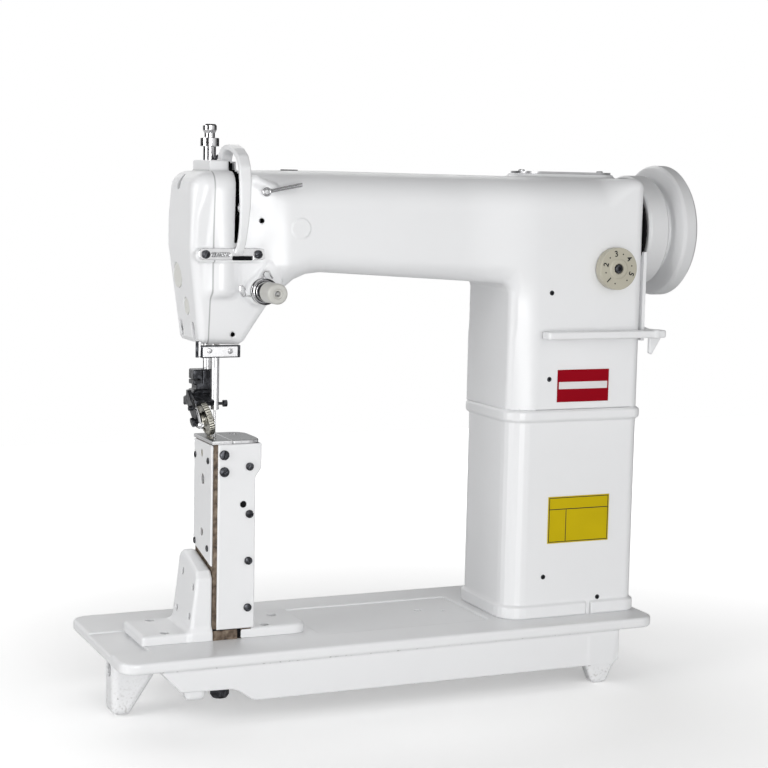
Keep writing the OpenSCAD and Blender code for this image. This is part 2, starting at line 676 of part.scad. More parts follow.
module thread_guide_plate() color(steel) place() difference() {
    xz_plate(head_y0 - 1.5, head_y0) round_rect(77, 332.5, 138.5, 342.5, 4.9, 4.9);
    block([88, head_y0 - 3, 336], [97, head_y0 + 1, 339]);
}

wire_r = 0.9;
module wire_thread_guide() color(steel) place() {
    difference() {
        y_cyl(35.2, 36.8, 3.8, 134.5, 390.7);
        y_cyl(34, 38, 2.2, 134.5, 390.7);
    }
    translate([137.6, 36, 391.4]) rotate([0, 76, 0]) cylinder(h = 28, r = wire_r);
    y_cyl(36, arm_y0 + 10, 1.5, 139.5, 391.9);
}

module needle_bar_guide() color(steel) place() {
    block([80, 52, 249.5], [118, 53.6, 259.9]);
    block([80, 52, 258.4], [118, 74, 259.9]);
    block([77, 52, 248], [79.9, 58, 262]);
    block([79, 52, 249.5], [81, 58, 259.9]);
}

// ---------- controls ----------

module stitch_dial() color([0.80, 0.78, 0.70]) place() difference() {
    union() {
        y_cyl(21, 30, 19.5, dial_x, dial_z);
        y_cyl(20.2, 22, 8, dial_x, dial_z);
        y_cyl(29, pillar_y0 - 0.2, 9, dial_x, dial_z);
    }
    y_cyl(19, 24, 4.2, dial_x, dial_z);
}

arm_side_outline = [[14, 262], [28, 262], [66, 258.5], [72, 257], [80, 262], [80, 270], [72, 275],
    [28, 269], [14, 269]];
module reverse_lever() color(paint) place() difference() {
    union() {
        block([400, 14, 262], [526, 28, 269]);
        yz_plate(pillar_x1 + 3.7, pillar_x1 + 8) polygon(arm_side_outline);
        x_cyl(pillar_x1 + 3.7, pillar_x1 + 8, 9, lever_y, lever_z);
        xz_plate(24, 28) polygon([[pillar_x1 + 3.7, 246], [526, 263], [pillar_x1 + 3.7, 263]]);
    }
    x_cyl(pillar_x1 + 3, pillar_x1 + 9, 4 + fit, lever_y, lever_z);
}

bed_casting();
riser_casting();
arm_casting();
face_plate();
face_plate_plugs();
cover_screws();
top_cover_plate();
arm_oil_plug();
side_plate();
name_plate();
info_plate();
pillar_set_screws();
post_body();
post_front_cover();
post_left_cover();
post_foot();
post_screws();
needle_plate();
hook_cover();
hook_shaft();
hook_body();
bobbin_case();
bobbin();
hook_bevel_pinion();
shaft_bushes();
lower_shaft();
lower_bevel_gear();
lower_belt_pulley();
timing_belt();
upper_shaft();
upper_belt_pulley();
counterweight_crank();
handwheel();
feed_eccentric();
feed_drive_gear();
feed_wheel();
needle_bar();
needle_bar_bushes();
needle_bar_collar();
needle_link();
needle_clamp_screw();
needle();
take_up_lever();
take_up_guard();
presser_bar();
presser_spring();
pressure_screw();
presser_lifter();
roller_bracket();
presser_roller();
tension_stud();
tension_discs();
check_spring();
tension_knob();
thread_guide_plate();
wire_thread_guide();
needle_bar_guide();
stitch_dial();
reverse_lever();
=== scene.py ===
"""Looks of the post-bed leather sewing machine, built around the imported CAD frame.

Castings are smooth closed forms, described as distance functions in bench millimetres: X from the
left end of the bed, Y from its front edge and Z from its top face. at() takes them to the frame.
"""
import json
import math

import bmesh
import bpy
import numpy as np
from mathutils import Matrix, Vector


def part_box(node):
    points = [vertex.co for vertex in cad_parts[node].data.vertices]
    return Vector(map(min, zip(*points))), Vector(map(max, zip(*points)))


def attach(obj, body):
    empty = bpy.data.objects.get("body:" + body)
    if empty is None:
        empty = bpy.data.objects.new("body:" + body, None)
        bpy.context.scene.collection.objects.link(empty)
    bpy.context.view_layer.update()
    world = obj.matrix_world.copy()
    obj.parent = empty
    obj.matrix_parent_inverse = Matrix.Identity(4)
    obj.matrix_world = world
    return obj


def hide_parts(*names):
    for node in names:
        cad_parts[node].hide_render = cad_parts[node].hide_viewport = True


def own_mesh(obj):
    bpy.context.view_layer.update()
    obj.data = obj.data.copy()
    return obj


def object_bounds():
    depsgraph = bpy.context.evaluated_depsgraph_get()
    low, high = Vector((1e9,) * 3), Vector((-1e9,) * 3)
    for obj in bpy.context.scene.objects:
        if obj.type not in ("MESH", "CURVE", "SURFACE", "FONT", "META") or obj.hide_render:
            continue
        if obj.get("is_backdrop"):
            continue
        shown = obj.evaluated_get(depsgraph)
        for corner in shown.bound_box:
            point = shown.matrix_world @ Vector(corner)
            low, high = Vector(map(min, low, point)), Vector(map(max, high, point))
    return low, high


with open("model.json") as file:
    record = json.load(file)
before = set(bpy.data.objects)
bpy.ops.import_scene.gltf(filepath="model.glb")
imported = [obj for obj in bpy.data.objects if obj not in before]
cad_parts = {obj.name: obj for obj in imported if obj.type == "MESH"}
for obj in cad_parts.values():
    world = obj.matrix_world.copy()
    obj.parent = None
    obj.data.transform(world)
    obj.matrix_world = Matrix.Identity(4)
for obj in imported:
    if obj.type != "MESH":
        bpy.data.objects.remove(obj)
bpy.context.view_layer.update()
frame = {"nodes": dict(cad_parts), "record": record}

MM = 0.001
FINE = 1.0    # how coarse the castings' grids are
SEAM = 92                    # X of the joint between the face plate and the arm
SHAFT_Y, SHAFT_Z = 81, 360   # axis of the upper shaft
NEEDLE = (105, SHAFT_Y)      # X and Y of the needle bar
PRESSER = (105, 102.6)       # X and Y of the presser bar
NEEDLE_PLATE_Z = 173
BED_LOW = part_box("bed_casting")[0]
ORIGIN = np.array([BED_LOW.x, BED_LOW.y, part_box("needle_plate")[0].z - NEEDLE_PLATE_Z * MM])


def at(x, y, z):
    """A point in bench millimetres as a vector in the frame, in metres."""
    return Vector((ORIGIN[0] + x * MM, ORIGIN[1] + y * MM, ORIGIN[2] + z * MM))


def bench_box(node):
    """A CAD node's lowest and highest corner, in bench millimetres."""
    low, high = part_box(node)
    return (np.array(low) - ORIGIN) / MM, (np.array(high) - ORIGIN) / MM


# ---------------------------------------------------------------- shapes as distances

def length(v):
    """Lengths of vectors, one along the last axis."""
    return np.sqrt((v * v).sum(axis=-1))


def polygon_distance(points, u, v):
    """Signed distance in a plane to a closed outline, negative inside."""
    best = np.full(u.shape, 1e18)
    inside = np.zeros(u.shape, bool)
    x0, y0 = points[-1]
    for x1, y1 in points:
        ex, ey = x1 - x0, y1 - y0
        wx, wy = u - x0, v - y0
        t = np.clip((wx * ex + wy * ey) / max(ex * ex + ey * ey, 1e-9), 0, 1)
        bx, by = wx - ex * t, wy - ey * t
        best = np.minimum(best, bx * bx + by * by)
        crosses = (y0 > v) != (y1 > v)
        if ey != 0:
            inside ^= crosses & (wx < ex * (v - y0) / ey)
        x0, y0 = x1, y1
    return np.where(inside, -1, 1) * np.sqrt(best)


def rounded(a, b, radius):
    """Where two slabs' distances meet in an outer edge of that radius."""
    wa, wb = np.maximum(a + radius, 0), np.maximum(b + radius, 0)
    return np.minimum(np.maximum(a + radius, b + radius), 0) + np.hypot(wa, wb) - radius


def filleted(a, b, radius):
    """The union of two forms with a fillet of that radius in the corner between them."""
    wa, wb = np.maximum(radius - a, 0), np.maximum(radius - b, 0)
    return np.maximum(np.minimum(a, b), radius) - np.hypot(wa, wb)


def melted(a, b, width):
    """The union of two forms that flow into each other."""
    h = np.maximum(width - np.abs(a - b), 0) / width
    return np.minimum(a, b) - h * h * width / 4


def step(t):
    """Rises smoothly from 0 at t = 0 to 1 at t = 1."""
    t = np.clip(t, 0, 1)
    return t * t * (3 - 2 * t)


def box(p, low, high, radius=1.0):
    """A block between two corners, all its edges rounded."""
    centre, half = (np.array(low) + high) / 2, (np.array(high) - low) / 2.0
    q = np.abs(p - centre) - half + radius
    return length(np.maximum(q, 0)) + np.minimum(q.max(axis=-1), 0) - radius


AXES = {"x": (1, 2, 0), "y": (0, 2, 1), "z": (0, 1, 2)}


def prism(p, axis, points, start, end, edge=1.0, corner=0.0):
    """An outline pushed along an axis, with rounded ends and, if corner is given, rounded corners."""
    u, v, w = np.moveaxis(p, -1, 0)[list(AXES[axis])]
    side = polygon_distance(points, u, v) - corner
    return rounded(side, np.abs(w - (start + end) / 2) - (end - start) / 2, edge)


def rod(p, axis, a, b, radius, start, end, edge=0.5):
    """A cylinder along an axis, through a and b in the other two."""
    u, v, w = np.moveaxis(p, -1, 0)[list(AXES[axis])]
    return rounded(np.hypot(u - a, v - b) - radius, np.abs(w - (start + end) / 2) - (end - start) / 2, edge)


def carved(d, cuts):
    """A form less the cuts, each (form, radius of the edge it leaves)."""
    for cut, edge in cuts:
        d = rounded(d, -cut, edge)
    return d


def bar(p, a, b, radius):
    """A round-ended bar from a to b."""
    a, b = np.array(a, float), np.array(b, float)
    t = np.clip(((p - a) @ (b - a)) / ((b - a) @ (b - a)), 0, 1)
    return length(p - a - t[..., None] * (b - a)) - radius


def arc(cx, cy, radius, start, end, steps=8):
    """Points of an arc, angles in degrees."""
    turns = np.radians(np.linspace(start, end, steps))
    return [(cx + radius * math.cos(t), cy + radius * math.sin(t)) for t in turns]


# ---------------------------------------------------------------- distances to meshes

EDGES = [(a, b) for a in range(8) for b in range(8) if a < b and bin(a ^ b).count("1") == 1]
CORNERS = np.array([[i >> 2 & 1, i >> 1 & 1, i & 1] for i in range(8)])
BLOCK = 5    # grid cells along a block that is judged as one
FAR = 99     # stands for the distance in blocks far from the surface


def sampled(form, low, high, cell):
    """The form's distance on a grid; cells far from the surface only get a sign."""
    count = (np.ceil((high - low) / cell / BLOCK).astype(int)) * BLOCK
    blocks = count // BLOCK
    mid = np.stack(np.meshgrid(*[low[i] + (np.arange(blocks[i]) + 0.5) * BLOCK * cell for i in range(3)],
                               indexing="ij"), -1)
    coarse = form(mid.reshape(-1, 3)).reshape(blocks)
    field = np.sign(coarse).astype(np.float32) * FAR
    for axis in range(3):
        field = np.repeat(field, BLOCK, axis)
    near = np.argwhere(np.abs(coarse) < BLOCK * cell * 1.35)
    offsets = np.stack(np.meshgrid(*[np.arange(BLOCK)] * 3, indexing="ij"), -1).reshape(-1, 3)
    for part in np.array_split(near, max(1, len(near) // 4000)):
        index = (part[:, None, :] * BLOCK + offsets).reshape(-1, 3)
        field[index[:, 0], index[:, 1], index[:, 2]] = form(low + index * cell)
    return field


def slopes(form, p, eps=0.03):
    """A form's gradient at points."""
    out = np.empty_like(p)
    for i in range(3):
        shift = np.zeros(3)
        shift[i] = eps
        out[:, i] = form(p + shift) - form(p - shift)
    return out / (2 * eps)


def surface(form, low, high, cell):
    """Vertices and quads of a form's surface: one vertex in each cell it crosses, pulled onto it."""
    low, high = np.array(low, float) - 2 * cell, np.array(high, float) + 2 * cell
    field = sampled(form, low, high, cell)
    solid = field < 0
    size = np.array(field.shape) - 1
    count = np.zeros(size, np.int8)
    for c in CORNERS:
        count += solid[c[0]:c[0] + size[0], c[1]:c[1] + size[1], c[2]:c[2] + size[2]]
    cells = np.argwhere((count > 0) & (count < 8))
    number = np.full(size, -1, np.int64)
    number[tuple(cells.T)] = np.arange(len(cells))
    values = np.stack([field[tuple((cells + c).T)] for c in CORNERS], 1)
    total, hits = np.zeros((len(cells), 3)), np.zeros(len(cells))
    for a, b in EDGES:
        da, db = values[:, a], values[:, b]
        cut = (da < 0) != (db < 0)
        t = np.where(cut, da / np.where(cut, da - db, 1), 0)[:, None]
        total += np.where(cut[:, None], CORNERS[a] + t * (CORNERS[b] - CORNERS[a]), 0)
        hits += cut
    p = low + (cells + total / hits[:, None]) * cell
    for _ in range(3):
        g = slopes(form, p)
        move = (form(p) / np.maximum((g * g).sum(1), 0.2))[:, None] * g
        p -= np.clip(move, -0.5 * cell, 0.5 * cell)
    quads = []
    for axis in range(3):
        u, v = (axis + 1) % 3, (axis + 2) % 3
        first = np.take(solid, range(size[axis]), axis)
        second = np.take(solid, range(1, size[axis] + 1), axis)
        for flip, mask in ((False, first & ~second), (True, ~first & second)):
            e = np.argwhere(mask)
            e = e[(e[:, u] > 0) & (e[:, v] > 0) & (e[:, u] < size[u]) & (e[:, v] < size[v])]
            ring = []
            for du, dv in ((1, 1), (0, 1), (0, 0), (1, 0)):
                n = e.copy()
                n[:, u] -= du
                n[:, v] -= dv
                ring.append(number[tuple(n.T)])
            ring = np.stack(ring[::-1] if flip else ring, 1)
            quads.append(ring)
    return p, np.concatenate(quads)


def mesh_from(name, verts, faces, normals=None):
    """An object of these vertices, in bench millimetres."""
    mesh = bpy.data.meshes.new(name)
    mesh.from_pydata((np.asarray(verts) * MM + ORIGIN).tolist(), [], np.asarray(faces).tolist()
                     if isinstance(faces, np.ndarray) else faces)
    mesh.validate()
    for poly in mesh.polygons:
        poly.use_smooth = True
    if normals is not None:
        mesh.normals_split_custom_set_from_vertices(normals.tolist())
    obj = bpy.data.objects.new(name, mesh)
    bpy.context.scene.collection.objects.link(obj)
    return obj


def placed(obj, finish, body="machine_frame", replaces=()):
    """Gives a piece its material, its body and the CAD nodes that it stands for."""
    obj.data.materials.clear()
    obj.data.materials.append(finish)
    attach(obj, body)
    if replaces:
        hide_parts(*replaces)
    return obj


def cast(name, form, low, high, cell, keep=1.0):
    """A smooth closed piece from a distance function. keep is the share of faces left after thinning."""
    verts, quads = surface(form, low, high, cell)
    if keep < 1:
        obj = mesh_from(name, verts, quads)
        thin = obj.modifiers.new("thin", "DECIMATE")
        thin.ratio = keep
        dg = bpy.context.evaluated_depsgraph_get()
        mesh = bpy.data.meshes.new_from_object(obj.evaluated_get(dg))
        bpy.data.objects.remove(obj)
        verts = np.empty(len(mesh.vertices) * 3)
        mesh.vertices.foreach_get("co", verts)
        verts = (verts.reshape(-1, 3) - ORIGIN) / MM
        faces = [tuple(f.vertices) for f in mesh.polygons]
        bpy.data.meshes.remove(mesh)
    else:
        faces = quads
    g = slopes(form, verts)
    verts = verts - (form(verts) / np.maximum((g * g).sum(1), 0.2))[:, None].clip(-1, 1) * g
    g = slopes(form, verts)
    return mesh_from(name, verts, faces, g / np.maximum(length(g), 1e-6)[:, None])


# ---------------------------------------------------------------- pieces made of points

def softened(points, radius, steps=4):
    """An outline with each of its corners turned into an arc, as large as its sides allow."""
    out = []
    for i, corner in enumerate(points):
        b = Vector(corner)
        before, after = Vector(points[i - 1]) - b, Vector(points[(i + 1) % len(points)]) - b
        half = before.angle(after) / 2
        if half > math.radians(84):
            out.append(tuple(b))
            continue
        cut = min(radius / math.tan(half), 0.46 * before.length, 0.46 * after.length)
        r = cut * math.tan(half)
        centre = b + (before.normalized() + after.normalized()).normalized() * (r / math.sin(half))
        start, end = b + before.normalized() * cut - centre, b + after.normalized() * cut - centre
        turn = math.pi - 2 * half
        for k in range(steps + 1):
            t = k / steps
            way = start * math.sin((1 - t) * turn) + end * math.sin(t * turn)
            out.append(tuple(centre + way / math.sin(turn)))
    return out


def turned(profile, segments=72):
    """A closed profile, each point (height, radius), turned about Z."""
    verts, faces = [], []
    n = len(profile)
    for s in range(segments):
        a = 2 * math.pi * s / segments
        verts += [(max(r, 1e-4) * math.cos(a), max(r, 1e-4) * math.sin(a), h) for h, r in profile]
    for s in range(segments):
        t = (s + 1) % segments
        for i in range(n):
            j = (i + 1) % n
            if profile[i][1] > 1e-3 or profile[j][1] > 1e-3:
                faces.append((s * n + i, t * n + i, t * n + j, s * n + j))
    return np.array(verts), faces


def lathe(profile, edge=0.3, steps=2, segments=72):
    """A profile with softened corners, turned about Z."""
    return turned(softened(profile, edge, steps), segments)


def washer(start, end, hole, rim, edge=0.3, steps=2, segments=72):
    """A flat ring or plug about Z from start to end, its rims softened."""
    return lathe([(start, hole), (start, rim), (end, rim), (end, hole)], edge, steps, segments)


def stood(piece, place, along="z", spin=0.0, tilt=0.0):
    """Stands a piece that was made about Z at a place. along: the direction its Z then points."""
    verts, faces = piece[:2]
    turn = {"z": Matrix.Identity(3), "-z": Matrix.Rotation(math.pi, 3, "X"),
            "x": Matrix.Rotation(math.pi / 2, 3, "Y"), "-x": Matrix.Rotation(-math.pi / 2, 3, "Y"),
            "y": Matrix.Rotation(-math.pi / 2, 3, "X"), "-y": Matrix.Rotation(math.pi / 2, 3, "X")}[along]
    turn = Matrix.Rotation(math.radians(tilt), 3, "Y") @ turn @ Matrix.Rotation(math.radians(spin), 3, "Z")
    return (np.asarray(verts) @ np.array(turn).T + place, faces)


def joined(pieces):
    """Several pieces of points as one."""
    verts, faces, start = [], [], 0
    for v, f in pieces:
        verts.append(np.asarray(v))
        faces += [tuple(i + start for i in face) for face in (f.tolist() if isinstance(f, np.ndarray) else f)]
        start += len(v)
    return np.concatenate(verts), faces


def made(name, pieces, finish, body="machine_frame", replaces=(), sharp=32):
    """One object from pieces of points, merged where they close, with crisp edges kept crisp."""
    obj = mesh_from(name, *joined(pieces))
    work = bmesh.new()
    work.from_mesh(obj.data)
    bmesh.ops.remove_doubles(work, verts=work.verts, dist=0.004 * MM)
    bmesh.ops.dissolve_degenerate(work, edges=work.edges, dist=0.002 * MM)
    bmesh.ops.recalc_face_normals(work, faces=work.faces)
    work.to_mesh(obj.data)
    work.free()
    obj.data.set_sharp_from_angle(angle=math.radians(sharp))
    obj.modifiers.new("even", "WEIGHTED_NORMAL").keep_sharp = True
    return placed(obj, finish, body, replaces)


def swept(path, radius, sides=12, closed=False):
    """A round wire along points, its ends closed."""
    path = [Vector(p) for p in path]
    count = len(path)
    verts, faces = [], []
    side = None
    for i, p in enumerate(path):
        if closed:
            run = path[(i + 1) % count] - path[i - 1]
        else:
            run = path[min(i + 1, count - 1)] - path[max(i - 1, 0)]
        run.normalize()
        if side is None:
            side = run.cross(Vector((0, 0, 1)) if abs(run.z) < 0.9 else Vector((1, 0, 0)))
        side = (side - run * side.dot(run)).normalized()
        up = run.cross(side)
        for k in range(sides):
            a = 2 * math.pi * k / sides
            verts.append(tuple(p + (side * math.cos(a) + up * math.sin(a)) * radius))
    for i in range(count if closed else count - 1):
        j = (i + 1) % count
        for k in range(sides):
            m = (k + 1) % sides
            faces.append((i * sides + k, i * sides + m, j * sides + m, j * sides + k))
    if not closed:
        faces.append(tuple(range(sides - 1, -1, -1)))
        faces.append(tuple(range((count - 1) * sides, count * sides)))
    return np.array(verts), faces


def helix(radius, start, end, turns, steps=20):
    """Points of a coil about Z whose last turn at each end lies flat."""
    points = []
    for k in range(int(turns * steps) + 1):
        t = k / (turns * steps)
        a = 2 * math.pi * turns * t
        lift = min(max((t * turns - 0.8) / (turns - 1.6), 0), 1)
        points.append((radius * math.cos(a), radius * math.sin(a), start + (end - start) * lift))
    return points


def slab(outline, start, end, edge=0.4, steps=3):
    """An outline in X and Y pushed along Z, its two rims rounded by that much."""
    count = len(outline)
    area = sum(outline[i - 1][0] * outline[i][1] - outline[i][0] * outline[i - 1][1] for i in range(count))
    if area < 0:
        outline = outline[::-1]
    rings = []
    for k in range(steps + 1):
        a = math.pi / 2 * k / steps
        rings.append((edge * (1 - math.sin(a)), start + edge * (1 - math.cos(a))))
    rings += [(inset, end - (z - start)) for inset, z in reversed(rings)]
    verts = []
    for inset, z in rings:
        for i, (x, y) in enumerate(outline):
            a, b = Vector(outline[i - 1]), Vector(outline[(i + 1) % count])
            run = (b - a).normalized()
            verts.append((x - run.y * inset, y + run.x * inset, z))
    faces = [tuple(range(count - 1, -1, -1)), tuple(range((len(rings) - 1) * count, len(rings) * count))]
    for r in range(len(rings) - 1):
        for i in range(count):
            j = (i + 1) % count
            faces.append((r * count + i, r * count + j, (r + 1) * count + j, (r + 1) * count + i))
    return np.array(verts), faces


def facing(outline, start, end, edge=0.4, axis="y"):
    """An outline in the two axes across axis, from start to end along it, with rounded rims."""
    verts, faces = slab(outline, start, end, edge)
    u, v, w = AXES[axis]
    out = np.empty_like(verts)
    out[:, u], out[:, v], out[:, w] = verts[:, 0], verts[:, 1], verts[:, 2]
    return out, faces


def round_rect(x0, y0, x1, y1, left, right=None, steps=7):
    """A rectangle's outline with one radius for its left corners and one for its right ones."""
    right = left if right is None else right
    corners = [(x1 - right, y0 + right, right), (x1 - right, y1 - right, right),
               (x0 + left, y1 - left, left), (x0 + left, y0 + left, left)]
    return [point for i, corner in enumerate(corners) for point in arc(*corner, 90 * i - 90, 90 * i, steps)]


def screw_head(radius, height, dome=0.3, slot=0.55, socket=0.0):
    """A screw head about Z, its seat at 0: slotted, or with a six-sided socket."""
    def form(p):
        x, y, z = np.moveaxis(p, -1, 0)
        top = height + dome * (1 - (x * x + y * y) / radius ** 2)
        d = rounded(np.hypot(x, y) - radius, np.maximum(z - top, -0.8 - z), 0.3)
        if socket:
            hexagon = prism(p, "z", arc(0, 0, socket, 0, 300, 6), height - 1.8, height + 3, 0.1)
            return rounded(d, -hexagon, 0.12)
        groove = np.maximum(np.abs(y) - slot, height * 0.45 - z)
        return rounded(d, -groove, 0.12)
    reach = radius + 0.5
    cell = max(radius / 14, 0.16) * FINE
    return surface(form, (-reach, -reach, -1), (reach, reach, height + dome + 0.5), cell)


# ---------------------------------------------------------------- materials

def tree_of(name):
    """A new material with its node tree, its shader and the place on the piece."""
    material = bpy.data.materials.new(name)
    material.use_nodes = True
    nodes = material.node_tree.nodes
    shader = nodes["Principled BSDF"]
    where = nodes.new("ShaderNodeTexCoord").outputs["Object"]
    return material, material.node_tree, shader, where


def noise(tree, where, scale, detail=3.0, stretch=None):
    """Noise values, scale in bumps per metre, stretched along the axes if asked."""
    if stretch:
        mapping = tree.nodes.new("ShaderNodeMapping")
        mapping.inputs["Scale"].default_value = stretch
        tree.links.new(where, mapping.inputs["Vector"])
        where = mapping.outputs["Vector"]
    texture = tree.nodes.new("ShaderNodeTexNoise")
    texture.inputs["Scale"].default_value = scale
    texture.inputs["Detail"].default_value = detail
    tree.links.new(where, texture.inputs["Vector"])
    return texture.outputs["Fac"]


def ramp(tree, value, stops):
    """Maps a value through colour stops, each (place, colour or grey)."""
    node = tree.nodes.new("ShaderNodeValToRGB")
    elements = node.color_ramp.elements
    while len(elements) < len(stops):
        elements.new(0.5)
    for element, (place, colour) in zip(elements, stops):
        element.position = place
        element.color = (*colour, 1) if isinstance(colour, tuple) else (colour, colour, colour, 1)
    tree.links.new(value, node.inputs["Fac"])
    return node.outputs["Color"]


def coordinate(tree, where, axis):
    """One coordinate, "X", "Y" or "Z", of a vector."""
    split = tree.nodes.new("ShaderNodeSeparateXYZ")
    tree.links.new(where, split.inputs[0])
    return split.outputs[axis]


def maths(tree, operation, a, b=None):
    """A maths node on numbers or on other nodes' values."""
    node = tree.nodes.new("ShaderNodeMath")
    node.operation = operation
    for socket, value in zip(node.inputs, (a, b)):
        if isinstance(value, (int, float)):
            socket.default_value = value
        elif value is not None:
            tree.links.new(value, socket)
    return node.outputs[0]


def mixed(tree, amount, a, b):
    """Colour a where amount is 0 and colour b where it is 1."""
    node = tree.nodes.new("ShaderNodeMix")
    node.data_type = "RGBA"
    tree.links.new(amount, node.inputs["Factor"])
    for key, colour in (("A", a), ("B", b)):
        if isinstance(colour, tuple):
            node.inputs[key].default_value = (*colour, 1)
        else:
            tree.links.new(colour, node.inputs[key])
    return node.outputs["Result"]


def bump(tree, shader, value, depth, strength=1.0):
    """Adds relief of that depth in metres, on top of any relief already there."""
    node = tree.nodes.new("ShaderNodeBump")
    node.inputs["Strength"].default_value = strength
    node.inputs["Distance"].default_value = depth
    tree.links.new(value, node.inputs["Height"])
    old = shader.inputs["Normal"].links
    if old:
        tree.links.new(old[0].from_socket, node.inputs["Normal"])
    tree.links.new(node.outputs["Normal"], shader.inputs["Normal"])


def past(tree, where, axis, place):
    """How far a point lies past a bench place along an axis, in metres."""
    start = float(ORIGIN["XYZ".index(axis)]) + place * MM
    return maths(tree, "SUBTRACT", coordinate(tree, where, axis), start)


def level(tree, where, z, width):
    """1 at a height in bench millimetres, falling to 0 that many millimetres above and below."""
    away = maths(tree, "ABSOLUTE", past(tree, where, "Z", z))
    return maths(tree, "SUBTRACT", 1.0, maths(tree, "DIVIDE", away, width * MM))


def fade(tree, where, axis, start, width, most=1.0):
    """Rises from 0 at a bench place to most, width millimetres further down the axis."""
    back = maths(tree, "MULTIPLY", past(tree, where, axis, start), -1 / (width * MM))
    return ramp(tree, back, [(0.0, 0.0), (1.0, most)])


def spot(tree, where, x, z, radius):
    """1 on the front half, within a radius of the axis along Y through a bench X and Z, in millimetres."""
    mapping = tree.nodes.new("ShaderNodeMapping")
    mapping.inputs["Location"].default_value = (-ORIGIN[0] - x * MM, 0, -ORIGIN[2] - z * MM)
    mapping.inputs["Scale"].default_value = (1, 0, 1)
    tree.links.new(where, mapping.inputs["Vector"])
    away = tree.nodes.new("ShaderNodeVectorMath")
    away.operation = "LENGTH"
    tree.links.new(mapping.outputs["Vector"], away.inputs[0])
    front = maths(tree, "LESS_THAN", past(tree, where, "Y", SHAFT_Y), 0.0)
    return maths(tree, "MULTIPLY", front, maths(tree, "LESS_THAN", away.outputs["Value"], radius * MM))


def enamel(name, tone, peel=0.00005, chips=(), rough_feet=False, seam=None, holes=()):
    """Thick sprayed enamel over cast iron, with orange peel.

    chips are the bench heights where dark chips show. rough_feet: the casting's feet are rough and
    speckled under their paint. seam: the bench X of a joint between two castings, seen as a thin grey
    line. holes: (x, z, radius) of small holes drilled from the front, painted near-black inside them
    as painted shade."""
    material, tree, shader, where = tree_of(name)
    cloud = noise(tree, where, 14, 4)
    colour = ramp(tree, cloud, [(0.3, tuple(c * 0.985 for c in tone)), (0.7, tone)])
    for z in chips:
        spots = ramp(tree, noise(tree, where, 260, 6), [(0.60, 0.0), (0.68, 0.75)])
        band = ramp(tree, level(tree, where, z, 0.9), [(0.05, 0.0), (0.6, 1.0)])
        colour = mixed(tree, maths(tree, "MULTIPLY", spots, band), colour, (0.16, 0.15, 0.14))
    if seam is not None:
        away = maths(tree, "ABSOLUTE", past(tree, where, "X", seam))
        line = ramp(tree, maths(tree, "DIVIDE", away, 0.9 * MM), [(0.25, 0.72), (1.0, 0.0)])
        colour = mixed(tree, line, colour, (0.26, 0.26, 0.265))
    # painted shade: the drilled holes turn near-black
    for x, z, radius in holes:
        colour = mixed(tree, spot(tree, where, x, z, radius), colour, (0.012, 0.012, 0.013))
    if rough_feet:
        left = maths(tree, "MULTIPLY", fade(tree, where, "X", 46, 3, 0.6), fade(tree, where, "Z", -14, 30))
        low = maths(tree, "MAXIMUM", fade(tree, where, "Z", -43, 5), left)
        speck = ramp(tree, noise(tree, where, 420, 8), [(0.52, 0.0), (0.72, 0.42)])
        colour = mixed(tree, maths(tree, "MULTIPLY", low, speck), colour, (0.20, 0.17, 0.14))
        bump(tree, shader, maths(tree, "MULTIPLY", low, noise(tree, where, 500, 6)), 0.0006)
    tree.links.new(colour, shader.inputs["Base Color"])
    gloss = ramp(tree, noise(tree, where, 60, 3), [(0.3, 0.30), (0.7, 0.42)])
    tree.links.new(gloss, shader.inputs["Roughness"])
    shader.inputs["Coat Weight"].default_value = 0.25
    shader.inputs["Coat Roughness"].default_value = 0.14
    bump(tree, shader, noise(tree, where, 330, 2), peel)
    bump(tree, shader, noise(tree, where, 40, 2), peel * 3)
    return material


def metal(name, tone, rough, grain=0.0, stretch=None, scale=900, worn=0.9):
    """Bare steel: grain is the depth of its grinding marks in metres."""
    material, tree, shader, where = tree_of(name)
    shader.inputs["Metallic"].default_value = 1.0
    fine = noise(tree, where, scale, 5, stretch)
    cloud = ramp(tree, noise(tree, where, 90, 4), [(0.3, tuple(c * worn for c in tone)), (0.7, tone)])
    tree.links.new(cloud, shader.inputs["Base Color"])
    tree.links.new(ramp(tree, fine, [(0.25, rough * 0.75), (0.75, rough * 1.35)]), shader.inputs["Roughness"])
    if grain:
        bump(tree, shader, fine, grain)
    return material


def top_ground(name, top, side, rough):
    """A ground steel plate, dark on its upward faces as painted shade and bright on its sides."""
    material, tree, shader, where = tree_of(name)
    shader.inputs["Metallic"].default_value = 1.0
    normal = tree.nodes.new("ShaderNodeNewGeometry").outputs["Normal"]
    # painted shade: faces that point up take the dark top tones, the others the bright side tone
    upward_shade = ramp(tree, coordinate(tree, normal, "Z"), [(0.75, 0.0), (0.95, 1.0)])
    fine = noise(tree, where, 700, 5, (1, 9, 1))
    tones = [(0.35, tuple(c * 0.8 for c in top)), (0.7, tuple(c * 1.3 for c in top))]
    worn = ramp(tree, noise(tree, where, 120, 5), tones)
    tree.links.new(mixed(tree, upward_shade, side, worn), shader.inputs["Base Color"])
    tree.links.new(ramp(tree, fine, [(0.3, rough * 0.8), (0.7, rough * 1.3)]), shader.inputs["Roughness"])
    bump(tree, shader, fine, 0.000012)
    return material


def blackened(name, tone=(0.028, 0.029, 0.033), rough=0.36):
    """Blackened steel of screws and brackets, with grey rubbed places."""
    material, tree, shader, where = tree_of(name)
    shader.inputs["Metallic"].default_value = 0.75
    rub = noise(tree, where, 260, 5)
    tones = [(0.45, tone), (0.75, tuple(c * 4 + 0.03 for c in tone))]
    tree.links.new(ramp(tree, rub, tones), shader.inputs["Base Color"])
    tree.links.new(ramp(tree, rub, [(0.3, rough), (0.8, rough * 0.7)]), shader.inputs["Roughness"])
    bump(tree, shader, noise(tree, where, 1500, 4), 0.00001)
    return material


